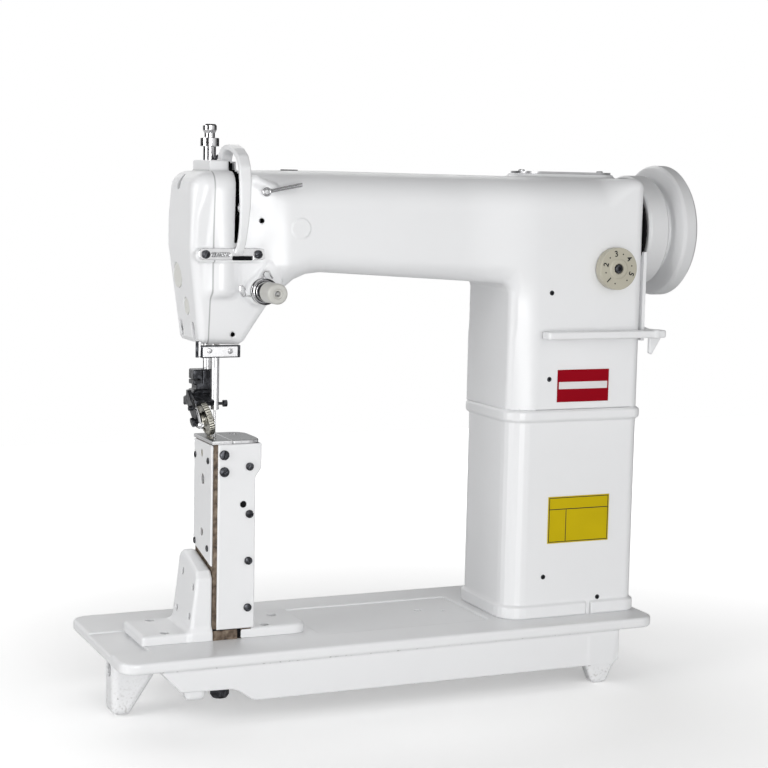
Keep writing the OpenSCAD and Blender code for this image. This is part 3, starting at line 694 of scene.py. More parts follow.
def raw_casting(name):
    """Unpainted cast iron with brown oxide."""
    material, tree, shader, where = tree_of(name)
    shader.inputs["Metallic"].default_value = 0.3
    rust = noise(tree, where, 190, 8)
    tones = [(0.32, (0.055, 0.040, 0.030)), (0.52, (0.17, 0.125, 0.09)), (0.75, (0.30, 0.24, 0.18))]
    tree.links.new(ramp(tree, rust, tones), shader.inputs["Base Color"])
    tree.links.new(ramp(tree, rust, [(0.3, 0.8), (0.7, 0.55)]), shader.inputs["Roughness"])
    bump(tree, shader, noise(tree, where, 900, 6), 0.00008)
    return material


def plastic(name, tone, rough=0.42, grain=0.00002, shine=0.5):
    """Moulded plastic or flat paint with a fine grain."""
    material, tree, shader, where = tree_of(name)
    tree.links.new(ramp(tree, noise(tree, where, 30, 3), [(0.3, tuple(c * 0.94 for c in tone)), (0.7, tone)]),
                   shader.inputs["Base Color"])
    tree.links.new(ramp(tree, noise(tree, where, 500, 3), [(0.3, rough * 0.85), (0.7, rough * 1.15)]),
                   shader.inputs["Roughness"])
    shader.inputs["Specular IOR Level"].default_value = shine
    bump(tree, shader, noise(tree, where, 1800, 3), grain)
    return material


PAINT = (0.86, 0.865, 0.875)
WHITE = enamel("white_enamel", PAINT)
WHITE_BED = enamel("white_enamel_bed", PAINT, chips=(-9.8, -42.4), rough_feet=True)
CHROME = metal("bright_steel", (0.78, 0.78, 0.79), 0.15)
SATIN = metal("satin_steel", (0.86, 0.86, 0.87), 0.34, 0.000006, (1, 1, 8), 700)
WIRE = metal("wire_steel", (0.42, 0.42, 0.43), 0.2)
GROUND = metal("ground_steel", (0.50, 0.50, 0.51), 0.32, 0.000012, (1, 8, 1), 600)
# the needle plate's and hook cover's steel, near-black on top as painted shade
SHADE_TOPPED_PLATE = top_ground("plate_steel", (0.125, 0.13, 0.135), (0.75, 0.75, 0.76), 0.30)
ROLLED = metal("worn_roller_steel", (0.70, 0.68, 0.60), 0.30, 0.00002, None, 900, 0.6)
BLACK = blackened("black_steel")
BRASS = metal("bronze", (0.72, 0.53, 0.28), 0.35, 0.00001, (8, 1, 1), 500)
IRON = raw_casting("raw_iron")
BEIGE = plastic("beige_plastic", (0.50, 0.475, 0.385), 0.4)
GREY = plastic("grey_plastic", (0.58, 0.575, 0.54), 0.35)
IVORY = plastic("ivory_plastic", (0.76, 0.76, 0.72), 0.32)
RUBBER = plastic("black_rubber", (0.02, 0.02, 0.02), 0.6)
RED = plastic("red_plate", (0.30, 0.001, 0.009), 0.5, 0.000006, 0.06)
YELLOW = plastic("yellow_plate", (0.58, 0.44, 0.003), 0.5, 0.000006, 0.1)
LABEL = plastic("label_white", (0.78, 0.76, 0.76), 0.4, 0.000006, 0.25)
INK = plastic("dark_print", (0.015, 0.015, 0.016), 0.5, 0.000006, 0.3)
# near-black painted shade for hollows, gaps and holes where shade falls
PAINTED_SHADE = plastic("hole_shadow", (0.006, 0.006, 0.007), 0.8, 0.00001, 0.1)
FINISHES = {"white_paint": WHITE, "bright_steel": CHROME, "ground_steel": GROUND, "black_steel": BLACK,
            "raw_iron": IRON, "bronze": BRASS, "beige_plastic": BEIGE, "grey_plastic": GREY,
            "white_plastic": IVORY, "black_rubber": RUBBER, "red_plate": RED, "yellow_plate": YELLOW}


# ---------------------------------------------------------------- CAD nodes that stay as they are

def softly(obj, width=0.35, angle=32):
    """Rounds a CAD node's crisp edges and evens its shading."""
    weld = obj.modifiers.new("weld", "WELD")
    weld.merge_threshold = 0.005 * MM
    edge = obj.modifiers.new("edge", "BEVEL")
    edge.width = width * MM
    edge.segments = 2
    edge.limit_method = "ANGLE"
    edge.angle_limit = math.radians(angle)
    edge.use_clamp_overlap = True
    obj.modifiers.new("even", "WEIGHTED_NORMAL").keep_sharp = True


EDGE = {"side_plate": 0.6, "post_body": 0.3, "top_cover_plate": 0.4, "needle_plate": 0.3, "name_plate": 0.12,
        "info_plate": 0.12, "timing_belt": 0.3, "feed_wheel": 0.1, "feed_drive_gear": 0.1, "needle": 0.05}
FINISH_OF = {"needle_plate": SHADE_TOPPED_PLATE, "feed_wheel": ROLLED, "top_cover_plate": GROUND,
             "needle_bar": SATIN, "presser_bar": SATIN}
for part in frame["record"]["subparts"]:
    node = frame["nodes"][part["node"]]
    finish = FINISH_OF.get(part["node"], FINISHES[part["material_slot"]])
    node.data.materials.clear()
    node.data.materials.append(finish)
    for face in node.data.polygons:
        face.material_index = 0
        face.use_smooth = True
    softly(node, EDGE.get(part["node"], 0.25))


# ---------------------------------------------------------------- arm, head and face plate

pillar_low, pillar_high = bench_box("riser_casting")
PILLAR_X0, PILLAR_X1 = pillar_low[0] + 3, pillar_high[0] - 3
PILLAR_Y0, PILLAR_Y1 = pillar_low[1] + 3, pillar_high[1] - 3
RISER_TOP = pillar_high[2]

ARM_OUTLINE = [(PILLAR_X0, RISER_TOP - 40), *arc(PILLAR_X0 - 8, 303.5, 8, 0, 86, 5), (192, 321.5), (178, 320),
               (167, 315), (157, 305.5), (147, 294.5), (126, 262), (121, 258.4), (86.5, 259.4), (84, 263),
               (72.4, 343), (72.4, 388), *arc(87.5, 392.5, 15, 175, 95, 6), (140, 409), (194, 409.8),
               (388, 408.8), (497, 408.8), *arc(501, 400.8, 8, 90, 0, 5), (PILLAR_X1, RISER_TOP - 40)]


def skin(x, y, z, inset=0.0):
    """The arm, head and face plate as one body, its front and back faces swept from head to pillar."""
    side = polygon_distance(ARM_OUTLINE, x, z) + inset
    to_arm = step((x - 108) / 52) * step((z - 296) / 34)
    to_pillar = step((x - 325) / 75)
    front = 46 + 0.112 * (396 - z)
    front = front + (38.5 - front) * to_arm
    front = front + (PILLAR_Y0 - front) * to_pillar
    back = 122 + 6 * to_arm + (PILLAR_Y1 + 3 - 128) * to_pillar
    edge = 7 + 8 * step((z - 365) / 30) - 2 * step((275 - z) / 20)
    arm_edge = 18 + 13 * step((z - 345) / 40)
    edge = edge + (arm_edge - edge) * step((x - 105) / 60) * step((z - 296) / 34)
    edge = edge + (10 - edge) * step((x - 465) / 36)
    across = np.abs(y - (front + back) / 2) - (back - front) / 2 + inset
    return rounded(side, across, np.maximum(edge - inset, 2))


FLANGE_TOP = 417
STRIP = round_rect(75, 330.6, 152, 342.2, 5.8)
TEARDROP = [*arc(134.3, 306, 13.2, 150, 330, 14), (153, 314), (149, 322), *arc(140, 327, 4, 20, 150, 6)]
COVER_BOSS = round_rect(393, 63, 499, 105, 21)
OIL_HOLES = [(133.6, 366.2, 2.1), (114, 267.4, 2.0)]    # X, Z and radius


def oblong(y, low, high, radius):
    """An upright slot's outline in Y and Z."""
    return [*arc(y, high - radius, radius, 0, 180, 9), *arc(y, low + radius, radius, 180, 360, 9)]


def head_body(p):
    """The skin with everything that is cast on it."""
    x, y, z = np.moveaxis(p, -1, 0)
    d = skin(x, y, z)
    column = rod(p, "z", 101.8, 61.5, 15.2, 300, 398, 8)
    d = melted(d, column, 5)
    d = filleted(d, prism(p, "z", [(93, 66), (117, 66), (117, 112), (93, 112)], 380, FLANGE_TOP, 1.2, 0), 2.5)
    d = filleted(d, prism(p, "y", STRIP, 46, 62, 1.2), 1.6)
    d = filleted(d, prism(p, "y", TEARDROP, 42, 70, 2.2), 3)
    d = melted(d, bar(p, (129, 46, 399.8), (142.5, 44, 393.6), 5.2), 3)
    d = filleted(d, prism(p, "z", COVER_BOSS, 395, 412, 1.2), 4)
    d = melted(d, rod(p, "y", 167.5, 360, 8.6, 37.9, 60, 0.6), 0.8)
    return d


def arm_form(p):
    """The hollow arm casting, up to the seam with the face plate."""
    x, y, z = np.moveaxis(p, -1, 0)
    d = rounded(head_body(p), SEAM + 0.02 - x, 0.15)
    d = rounded(d, RISER_TOP + 0.15 - z, 0.5)
    slot = box(p, (110.6, 20, 347), (116, 74, 440), 0.5)
    hollow = prism(p, "y", [(SEAM - 9, 268), (112, 268), (136, 297), (144, 304), (144, 398), (SEAM - 9, 398)],
                   63, 114, 3)
    hollow = np.minimum(hollow, box(p, (104, 54, 330), (144, 80, 398), 2))
    inner = np.maximum(skin(x, y, z, 7.0), 162 - x)
    well = box(p, (PILLAR_X0 + 9, PILLAR_Y0 + 9, 150), (PILLAR_X1 - 9, PILLAR_Y1 - 9, 330), 14)
    inner = np.minimum(inner, well)
    cuts = [(slot, 0.8), (hollow, 0.3), (inner, 0.3),
            (rod(p, "z", *PRESSER, 6.0, 385, 430, 0.2), 0.6),
            (rod(p, "z", *NEEDLE, 6.05, 240, 300, 0.1), 0.3),
            (rod(p, "z", *NEEDLE, 7.5, 390, 402, 0.1), 0.3),
            (rod(p, "z", *PRESSER, 4.2, 240, 300, 0.1), 0.3),
            (rod(p, "x", SHAFT_Y, SHAFT_Z, 11.0, 130, 170, 0.1), 0.3),
            (rod(p, "x", SHAFT_Y, SHAFT_Z, 11.0, 470, 520, 0.1), 0.8),
            *((rod(p, "y", *hole, 20, 68, 0.2), 0.3) for hole in OIL_HOLES),
            (prism(p, "z", round_rect(166.4, 84.9, 182.6, 93.1, 4.1), 398, 420, 0.1), 0.8)]
    return carved(d, cuts)


def face_form(p):
    """The hollow face plate on the left of the seam."""
    x, y, z = np.moveaxis(p, -1, 0)
    d = rounded(head_body(p) + 0.04, x - SEAM - 1.5, 0.15)
    hollow = np.maximum(skin(x, y, z, 5.0), x - SEAM - 1)
    notch = [*arc(76, 273, 4.4, 0, 180, 9), (71.6, 250), (80.4, 250)]
    cuts = [(hollow, 0.3), (rod(p, "x", 100.7, 317, 11.1, 60, 84, 0.1), 0.5),
            (rod(p, "x", 86, 291, 7.5, 60, 88, 0.1), 0.5),
            (prism(p, "x", oblong(89.5, 391.6, 404.4, 4.6), 60, 80, 0.5), 1.0),
            (prism(p, "x", oblong(109.5, 263.4, 277.6, 3.6), 60, 86.5, 0.5), 1.0),
            (prism(p, "x", notch, 60, 87, 0.5), 1.0)]
    return carved(d, cuts)


WHITE_HEAD = enamel("white_enamel_head", PAINT, seam=SEAM, holes=OIL_HOLES)
placed(cast("arm_shell", arm_form, (SEAM, 28, RISER_TOP), (PILLAR_X1, 140, 419), 1.45 * FINE), WHITE_HEAD,
       replaces=["arm_casting"])
placed(cast("face_cover", face_form, (71, 44, 256), (SEAM + 2, 124, 418), 0.9 * FINE), WHITE_HEAD,
       replaces=["face_plate"])


# ---------------------------------------------------------------- riser and bed

BED_X, BED_Y = 517, 178
SLAB_T = 10


def riser_form(p):
    """The box that lifts the arm's pillar, with a base band and a top flange."""
    x, z = p[..., 0], p[..., 2]
    plan = round_rect(PILLAR_X0, PILLAR_Y0, PILLAR_X1, PILLAR_Y1, 20, 10)
    wide = round_rect(PILLAR_X0 - 3, PILLAR_Y0 - 3, PILLAR_X1 + 3, PILLAR_Y1 + 3, 22, 12)
    side = polygon_distance(plan, x, p[..., 1])
    band = polygon_distance(wide, x, p[..., 1])
    d = np.maximum(side, np.abs(z - RISER_TOP / 2) - RISER_TOP / 2)
    d = filleted(d, rounded(band, np.abs(z - 6) - 6, 2.2), 2.0)
    d = filleted(d, rounded(band, np.abs(z - RISER_TOP + 5) - 4.9, 2.4), 2.0)
    d = rounded(d, -(side + 6), 0.5)
    notch = box(p, (457, PILLAR_Y0 - 5, -1), (461.5, PILLAR_Y0 - 0.8, 12.5), 0.3)
    return rounded(d, -notch, 0.8)


SKIRT = [(33.5, -2), (34.5, -11), (52.6, -29.5), (97, -30.5), (103, -32.5), (115, -40.8),
         (120, -42.4), (474, -42.4), (479, -38), (479, -2)]
LEFT_FOOT = [(5, 0), *arc(11, -52, 6, 180, 262, 5), *arc(19, -54.5, 3.6, 270, 320, 3),
             *arc(39, -23.5, 4, -30, 0, 3), (43, 0)]
RIGHT_FOOT = [(444, -34), (445, -44), (451, -57.5), *arc(456, -55, 4.8, 235, 270, 3),
              *arc(463, -54, 5.8, 270, 340, 4), (474.5, -43), (477, -30), (479, -10), (444, -10)]
WELL = round_rect(194, 42, 361, 140, 5)
LEFT_WELL = round_rect(-20, 38, 34.5, 113, 3)


def bed_form(p):
    """The bed casting: a slab on a skirt, with feet, shaft lugs and two shallow wells."""
    x, y, z = np.moveaxis(p, -1, 0)
    slab = polygon_distance(round_rect(0, 0, BED_X, BED_Y, 15), x, y)
    d = rounded(slab, np.abs(z + SLAB_T / 2) - SLAB_T / 2, 2.6)
    mirror = np.stack([x, BED_Y - y, z], -1)
    under = np.minimum(prism(p, "y", SKIRT, 3, 9, 1.5, 0), prism(mirror, "y", SKIRT, 3, 9, 1.5, 0))
    under = np.minimum(under, box(p, (473, 6, -41.5), (479, BED_Y - 6, -2), 1.5))
    under = np.minimum(under, box(p, (52, 6, -29.5), (58, BED_Y - 6, -2), 1.5))
    for q in (p, mirror):
        under = filleted(under, prism(q, "y", RIGHT_FOOT, 3, 17, 4.0), 2)
    under = np.minimum(under, box(p, (58, 8, -39), (76, 22, -2), 4.5))
    for start in (140, 400):
        drop = bar(p * (0, 1, 1), (0, SHAFT_Y, 0), (0, SHAFT_Y, -32), 13.5)
        lug = rounded(np.abs(x - start - 6) - 6, drop, 1.0)
        under = filleted(under, lug, 3)
    under = filleted(under, prism(p, "y", LEFT_FOOT, 48, 74, 6.0), 3)
    d = filleted(d, np.maximum(under, z + 2), 1.6)
    cuts = [(prism(p, "z", WELL, -1.6, 20, 0.1), 1.3), (prism(p, "z", LEFT_WELL, -1.6, 20, 0.1), 1.3),
            (box(p, (430, 57, -20), (448, 105, 4), 1), 0.6),
            (rod(p, "z", 119.5, SHAFT_Y, 8.1, -20, 4, 0.1), 0.3),
            (rod(p, "x", 61, -19, 6.25, -3, 45, 0.1), 0.4),
            (rod(p, "z", 316, 101, 2.5, -20, 4, 0.1), 0.4),
            (rod(p, "z", 338, 92, 1.8, -20, 4, 0.1), 0.4),
            (rod(p, "x", SHAFT_Y, -32, 9.05, 138, 154, 0.1), 0.4),
            (rod(p, "x", SHAFT_Y, -32, 9.05, 398, 414, 0.1), 0.4)]
    return carved(d, cuts)


placed(cast("riser_shell", riser_form, (370, 28, 0), (512, 136, RISER_TOP), 1.6 * FINE, 0.5), WHITE,
       replaces=["riser_casting"])
placed(cast("bed_shell", bed_form, (0, 0, -60), (BED_X, BED_Y, 0), 1.55 * FINE, 0.6), WHITE_BED,
       replaces=["bed_casting"])


# ---------------------------------------------------------------- post foot, guard, reverse lever

BRACKET_FRONT = [(73.5, -5), (79, 40), (82, 70), (84, 75), (88, 79.5), (92, 81), (95.4, 81), (95.4, -5)]
BRACKET_SIDE = [(52.5, -5), (52.5, 56), (57, 62), (98, 72.5), (104, 72), (108, 66), (109.5, -5)]


def foot_form(p):
    """The post's base plate with the bracket that clasps the post's left side."""
    x, y, z = np.moveaxis(p, -1, 0)
    plate = polygon_distance(round_rect(32, 51.5, 184.5, 113, 3, 12), x, y)
    plate = rounded(plate, np.abs(z - 3.5) - 5.5, 3.0)
    bracket = rounded(polygon_distance(BRACKET_FRONT, x, z), polygon_distance(BRACKET_SIDE, y, z), 3.2)
    d = filleted(plate, np.maximum(bracket, -z), 5)
    d = np.maximum(d, -z)
    cuts = [(box(p, (95.4, 52.9, -20), (131.1, 103.1, 120), 0.2), 0.4),
            (box(p, (95.4, 40, -20), (121.5, 56, 20), 0.2), 0.5)]
    cuts += [(rod(p, "z", a, b, 3.9, 6, 20, 0.1), 0.4) for a, b in BASE_SCREWS]
    cuts += [(rod(p, "x", b, c, 2.9, 60, 88, 0.1), 0.5) for b, c in BRACKET_SCREWS]
    return carved(d, cuts)


BASE_SCREWS = [(55, 106), (54, 58.5), (146, 58.5), (164, 89)]    # X and Y
BRACKET_SCREWS = [(97, 21), (61, 21), (92, 55), (60, 47)]        # Y and Z
placed(cast("post_foot_casting", foot_form, (31, 51, 0), (185, 114, 82), 0.95 * FINE, 0.8), WHITE,
       replaces=["post_foot"])

GUARD = softened([(88, 415), (88, 422), (81, 427.5), (70, 430), (59, 430), (47, 427), (36.5, 421.5),
                  (29.8, 412), (27.3, 399), (27.5, 376), (30, 361), (34, 349), (38.5, 340.5),
                  (42, 337.6), (45, 337.8), (45, 341), (41, 345), (36.4, 354), (32.4, 366),
                  (31, 377), (31, 398), (33.6, 410), (39.4, 418), (49.5, 423), (60.5, 425.8),
                  (70, 425.6), (77, 422), (79.5, 415)], 10, 4)


def guard_form(p):
    """The arched finger guard in front of the take-up lever, wider and thicker at its top."""
    z = p[..., 2]
    half = 3.4 + 1.8 * step((z - 340) / 60)
    side = polygon_distance(GUARD, p[..., 1], z) - 0.35
    return rounded(side, np.abs(p[..., 0] - 112.8) - half, 1.6)


placed(cast("guard_arch", guard_form, (106, 26, 336), (119, 89, 431), 0.7 * FINE), WHITE,
       replaces=["take_up_guard"])


def reverse_form(p):
    """The reverse-feed lever: a finger pad, a web and the arm on its right that turns on the side plate."""
    x, y, z = np.moveaxis(p, -1, 0)
    pad = rounded(polygon_distance(round_rect(400, 14, 526, 28, 3, 4), x, y), np.abs(z - 265.4) - 3.5, 1.6)
    web = prism(p, "y", [(512.9, 247), (516, 245.5), (526, 262), (526, 266), (512.9, 266)], 23.6, 28, 1.2)
    reach = prism(p, "x", [(14, 262), (28, 262), (66, 258.5), (72, 257), (80, 262), (80, 270), (72, 275),
                           (28, 269), (14, 269)], 512.8, 517, 1.2)
    boss = rod(p, "x", 72, 266, 9, 512.7, 517.2, 0.8)
    d = filleted(pad, web, 1.5)
    d = filleted(d, filleted(reach, boss, 2), 2)
    return rounded(d, -rod(p, "x", 72, 266, 4.05, 500, 530, 0.1), 0.3)


placed(cast("reverse_lever_casting", reverse_form, (399, 13, 245), (527, 82, 276), 0.8 * FINE), WHITE,
       "reverse_lever", ["reverse_lever"])


# ---------------------------------------------------------------- post covers

cover_low, cover_high = bench_box("post_front_cover")
post_high = bench_box("post_body")[1]
POST_X1, POST_Y0, POST_Y1 = post_high[0], cover_low[1] + 2, post_high[1]
COVER_HOLE = (122.3, 119.6, 3.0)    # X, Z and radius


def cover_form(p):
    """The post's front and right cover, with the bulge beside its hook."""
    x, y, z = np.moveaxis(p, -1, 0)
    right, left, top = POST_X1 + 2.6, cover_low[0], cover_high[2]
    outline = [(left, cover_low[2]), (right, cover_low[2]), (right, 143), (cover_high[0], 151),
               (cover_high[0], top), (left, top)]
    depth = np.abs(y - (cover_low[1] + cover_high[1]) / 2) - (cover_high[1] - cover_low[1]) / 2
    d = rounded(polygon_distance(outline, x, z), depth, 1.6)
    bulge = [(POST_X1 - 2, 146), (POST_X1, 146), (137, 153), (137, top + 5), (POST_X1 - 2, top + 5)]
    cuts = [(box(p, (60, POST_Y0, -5), (POST_X1, POST_Y1 + 5, top + 5), 0.1), 0.3),
            (prism(p, "y", bulge, POST_Y0, POST_Y1 - 1, 0.1), 0.3),
            (rod(p, "y", *COVER_HOLE, 30, POST_Y0 + 1, 0.1), 0.3)]
    return carved(d, cuts)


placed(cast("post_cover_casting", cover_form, cover_low - 0.5, cover_high + 0.5, 0.85 * FINE), WHITE,
       replaces=["post_front_cover"])


LEFT_HOLES = [(78, 139.2, 4.6), (SHAFT_Y, 161.8, 3.2), (79.7, 91.8, 3.6)]    # Y, Z and radius


def left_cover_form(p):
    """The post's left cover, with the holes that the feed shafts reach through."""
    x, y, z = np.moveaxis(p, -1, 0)
    top = left_high[2]
    outline = [(left_low[1], left_low[2]), (left_high[1], left_low[2] + 12),
               (left_high[1], top), (left_low[1], top)]
    middle, half = (left_low[0] + left_high[0]) / 2, (left_high[0] - left_low[0]) / 2
    d = rounded(polygon_distance(outline, y, z), np.abs(x - middle) - half, 0.8)
    return carved(d, [(rod(p, "x", *hole, 80, 110, 0.1), 0.3) for hole in LEFT_HOLES])


left_low, left_high = bench_box("post_left_cover")
placed(cast("post_left_casting", left_cover_form, left_low - 0.5, left_high + 0.5, 0.7 * FINE), WHITE,
       replaces=["post_left_cover"])


# ---------------------------------------------------------------- painted shade in hollows, and small fittings of the frame

def lined(name, form, depth, finish):
    """Gives the faces that lie deeper than depth under a form's surface another finish: painted shade."""
    obj = bpy.data.objects[name]
    obj.data.materials.append(finish)
    centres = np.empty(len(obj.data.polygons) * 3)
    obj.data.polygons.foreach_get("center", centres)
    inside = form((centres.reshape(-1, 3) - ORIGIN) / MM) < -depth
    obj.data.polygons.foreach_set("material_index", inside.astype(np.int32))


# painted shade: faces deep in the hollows of the arm and the face plate turn near-black
lined("arm_shell", head_body, 1.6, PAINTED_SHADE)
lined("face_cover", head_body, 4.2, PAINTED_SHADE)

FACE_Y = 44.5
screws = [stood(screw_head(r, 1.9, 0.5), (x, 51, z), "-y", spin)
          for x, z, r, spin in ((104.1, 163.8, 4.3, 80), (104.3, 149, 4.3, 35), (127.4, 152.9, 3.5, 60),
                                (127.7, 111, 3.5, 20), (127.1, 69.5, 3.5, 75), (126.9, 27.7, 3.5, 50))]
screws += [stood(screw_head(2.9, 0.7, 0.1, socket=1.5), (93.5, y, z), "-x")
           for y, z in ((99, 157.9), (63, 157.3), (99, 80.6), (63.6, 79.8))]
screws += [stood(screw_head(3.5, 0.9, 0.2, 0.5), (x, y, 6.3), "z", 40 * i)
           for i, (x, y) in enumerate(BASE_SCREWS)]
screws += [stood(screw_head(2.7, 0.6, 0.1, socket=1.4), (83.5, y, z), "-x") for y, z in BRACKET_SCREWS]
made("post_screw_set", screws, BLACK, replaces=["post_screws"])

made("thread_plate_screws", [stood(screw_head(3.7, 1.7, 0.6), (x, FACE_Y, 337.4), "-y", spin)
                             for x, spin in ((83.5, 60), (130.5, 25))], BLACK)
made("cover_screw_set",
     [stood(screw_head(3.2, 1.0, 0.3), (85, 109.5, 270.5), "-x", 60),
      stood(screw_head(3.0, 1.3, 0.4), (404, 84, 414), "z", 30),
      stood(screw_head(3.0, 1.3, 0.4), (488, 84, 414), "z", 75),
      stood(screw_head(2.3, 0.9, 0.4), (90.1, 52, 254.6), "-y", 60),
      stood(screw_head(2.3, 0.9, 0.4), (108.8, 52, 253.9), "-y", 15)],
     GROUND, replaces=["cover_screws"])
GRUB_PLACES = [(411, 303.5), (411, 224), (411, 38.7), (470, 15.5)]    # X and Z
made("pillar_grub_screws", [stood(screw_head(2.3, 0.3, 0.05, socket=1.1), (x, PILLAR_Y0 - 0.05, z), "-y")
                            for x, z in GRUB_PLACES],
     BLACK, replaces=["pillar_set_screws"])
# near-black discs in the grub screws' holes: painted shade
well = turned([(0.12, 0.01), (0.12, 2.2), (-0.4, 2.2), (-0.4, 0.01)])
made("grub_screw_well_shades", [stood(well, (x, PILLAR_Y0, z), "-y") for x, z in GRUB_PLACES],
     PAINTED_SHADE)
# a near-black ring on the arm's right end: painted shade in the gap before the handwheel
made("arm_end_shade_disc", [stood(washer(0, 0.8, 12, 49, 0.2), (PILLAR_X1, SHAFT_Y, SHAFT_Z), "x")], PAINTED_SHADE)
drain_plug = [(-44.6, 0), (-44, 6.2), (-41, 8.3), (-34, 8.3), (-34, 6), (-12, 6), (-12, 0)]
made("bed_drain_plug", [stood(lathe(drain_plug, 1.0, 4), (95, 30, 0))], BLACK)

PLATE_Y = PILLAR_Y0 - 0.62


def plate_marks(name, boxes, finish):
    """Thin printed fields on a name plate, each (x0, z0, x1, z1, corner)."""
    made(name, [facing(round_rect(x0, z0, x1, z1, r, r, 4), PLATE_Y - 0.06, PLATE_Y + 0.2, 0.03)
                for x0, z0, x1, z1, r in boxes], finish)


def frame_of(x0, z0, x1, z1, w):
    """A rectangle's four sides as fields of width w."""
    return [(x0, z0, x1, z0 + w, 0.1), (x0, z1 - w, x1, z1, 0.1),
            (x0, z0, x0 + w, z1, 0.1), (x1 - w, z0, x1, z1, 0.1)]


plate_marks("name_plate_field", [(421.0, 214.6, 472.4, 221.2, 0.4)], LABEL)
plate_marks("info_plate_lines", frame_of(414.9, 71.0, 478.0, 113.1, 0.7) +
            [(415, 101.6, 478, 102.4, 0.1), (432.6, 71.4, 433.3, 102, 0.1)], INK)

# ---------------------------------------------------------------- thread path on the head

plate_outline = round_rect(77, 332.5, 138.5, 342.5, 4.9)


def thread_plate_form(p):
    """The chromed plate across the seam with its thread slots."""
    d = prism(p, "y", plate_outline, FACE_Y, 46.1, 0.5)
    slots = ((88.5, 335.2, 105.5, 338.8, 1.7), (107.5, 332.0, 126, 336.0, 1.2))
    return carved(d, [(prism(p, "y", round_rect(*slot), 40, 50, 0.1), 0.3) for slot in slots])


placed(cast("thread_plate", thread_plate_form, (76, 44, 332), (139, 47, 343), 0.42 * FINE), CHROME,
       replaces=["thread_guide_plate"])
twist = [(88.5 + 17 * k / 72, 45.0 + 0.7 * math.sin(k * 0.7), 337 + 1.25 * math.cos(k * 0.7))
         for k in range(73)]
made("twisted_thread_wire", [swept(twist, 0.42, 8)], CHROME)
made("slot_shadow_plate", [facing(round_rect(107.8, 332.2, 125.6, 335.8, 1.0), 45.4, 46.4, 0.1)],
     PAINTED_SHADE)


def bent(x, y, z, radius, angles):
    """Points of a bend in a wire, about a line along Y; the angles are in degrees."""
    return [(x + radius * math.cos(a), y, z + radius * math.sin(a)) for a in np.radians(angles)]


eye = bent(134.6, 36, 390.8, 3.0, range(0, 360, 15))
tip = bent(165.6, 36.4, 397.2, 1.1, range(-75, 106, 20))
hairpin = [(137.6, 36, 390.6), *tip, (137.3, 36, 392.2)]
stem = [(139.5, 36.4, 391.8), (139.5, 48, 391.8)]
made("wire_guide", [swept(eye, 0.95, 10, True), swept(hairpin, 0.68, 10), swept(stem, 1.4, 12)], WIRE,
     replaces=["wire_thread_guide"])

TENSION = (134.3, 0, 306)


def on_stud(piece, y=0.0, spin=0.0):
    """Stands a piece on the tension stud, its Z pointing out of the head."""
    return stood(piece, (TENSION[0], y, TENSION[2]), "-y", spin)


def dished(start, sign):
    """A tension disc that curves away towards its rim."""
    rise = [(0.0, 3.1), (0.0, 7.5), (0.5, 9.4), (1.4, 11.2), (1.8, 11.5)]
    outer = [(start + sign * h, r) for h, r in rise]
    inner = [(start + sign * (h + 0.55), r - 0.15) for h, r in rise[::-1]]
    return turned(outer + inner)


made("tension_disc_pair", [on_stud(dished(-37.3, -1)), on_stud(dished(-36.9, 1)),
                           on_stud(washer(-35.2, -34.2, 3.1, 8.6, 0.3, 3))],
     CHROME, replaces=["tension_discs"])
made("tension_backing", [on_stud(washer(-43.5, -41.4, 3.1, 11.2, 0.5, 3))], BLACK)
made("tension_spring", [on_stud(swept(helix(5.4, -34.2, -26.6, 5.2, 24), 0.62, 8))],
     BLACK)
ear = [(134.5, 38.6, 317.4), (132.6, 38.0, 321.0), (134.2, 36.4, 323.8), (137.4, 35.4, 323.4),
       (138.6, 35.0, 320.4), (140.6, 35.4, 317.6)]
made("thread_stop_wire", [swept(ear, 0.85, 10)], CHROME)
loop = [(115.4 + 2.0 * math.cos(a) - 1.6 * math.sin(a), 39.9, 306.6 + 4.6 * math.sin(a) + 0.9 * math.cos(a))
        for a in np.radians(range(-80, 281, 15))]
ring = bent(TENSION[0], 40.0, TENSION[2], 9.3, range(205, 560, 12))
made("check_spring_wire", [swept([*ring[::-1], (124, 39.8, 301.6), (119.0, 39.8, 302.4), *loop], 0.6, 10)],
     CHROME, "check_spring", ["check_spring"])
knob = softened([(-26, 3.1), (-26, 8.9), (-5.6, 8.9), (-4.0, 7.6), (-4.0, 4.4), (-5.4, 4.0), (-5.4, 2.5),
                 (-14, 2.5), (-14, 3.1)][::-1], 0.7, 4)
made("tension_thumb_nut", [on_stud(turned(knob, 96))], GREY, "tension_knob", ["tension_knob"])

# ---------------------------------------------------------------- stitch dial

DIAL = (475, 0, 326)


def on_dial(piece, y=0.0):
    """Stands a piece on the dial's axis, its Z pointing out of the pillar."""
    return stood(piece, (DIAL[0], y, DIAL[2]), "-y")


dial_profile = softened([(-30, 0.01), (-30, 19.2), (-28.6, 19.5), (-21.2, 19.5), (-21, 18.6),
                         (-21, 9.6), (-20.3, 8.0), (-20.3, 4.9), (-21.6, 4.6), (-23.6, 4.4),
                         (-23.6, 0.01)][::-1], 0.5, 3)
made("dial_body", [on_dial(turned(dial_profile, 96)), on_dial(washer(-30.6, -29, 0.01, 9, 0.2))],
     BEIGE, "stitch_dial", ["stitch_dial"])
made("dial_screw", [on_dial(screw_head(4.0, 1.9, 0.9, socket=1.9), 22.6)],
     BLACK, "stitch_dial")


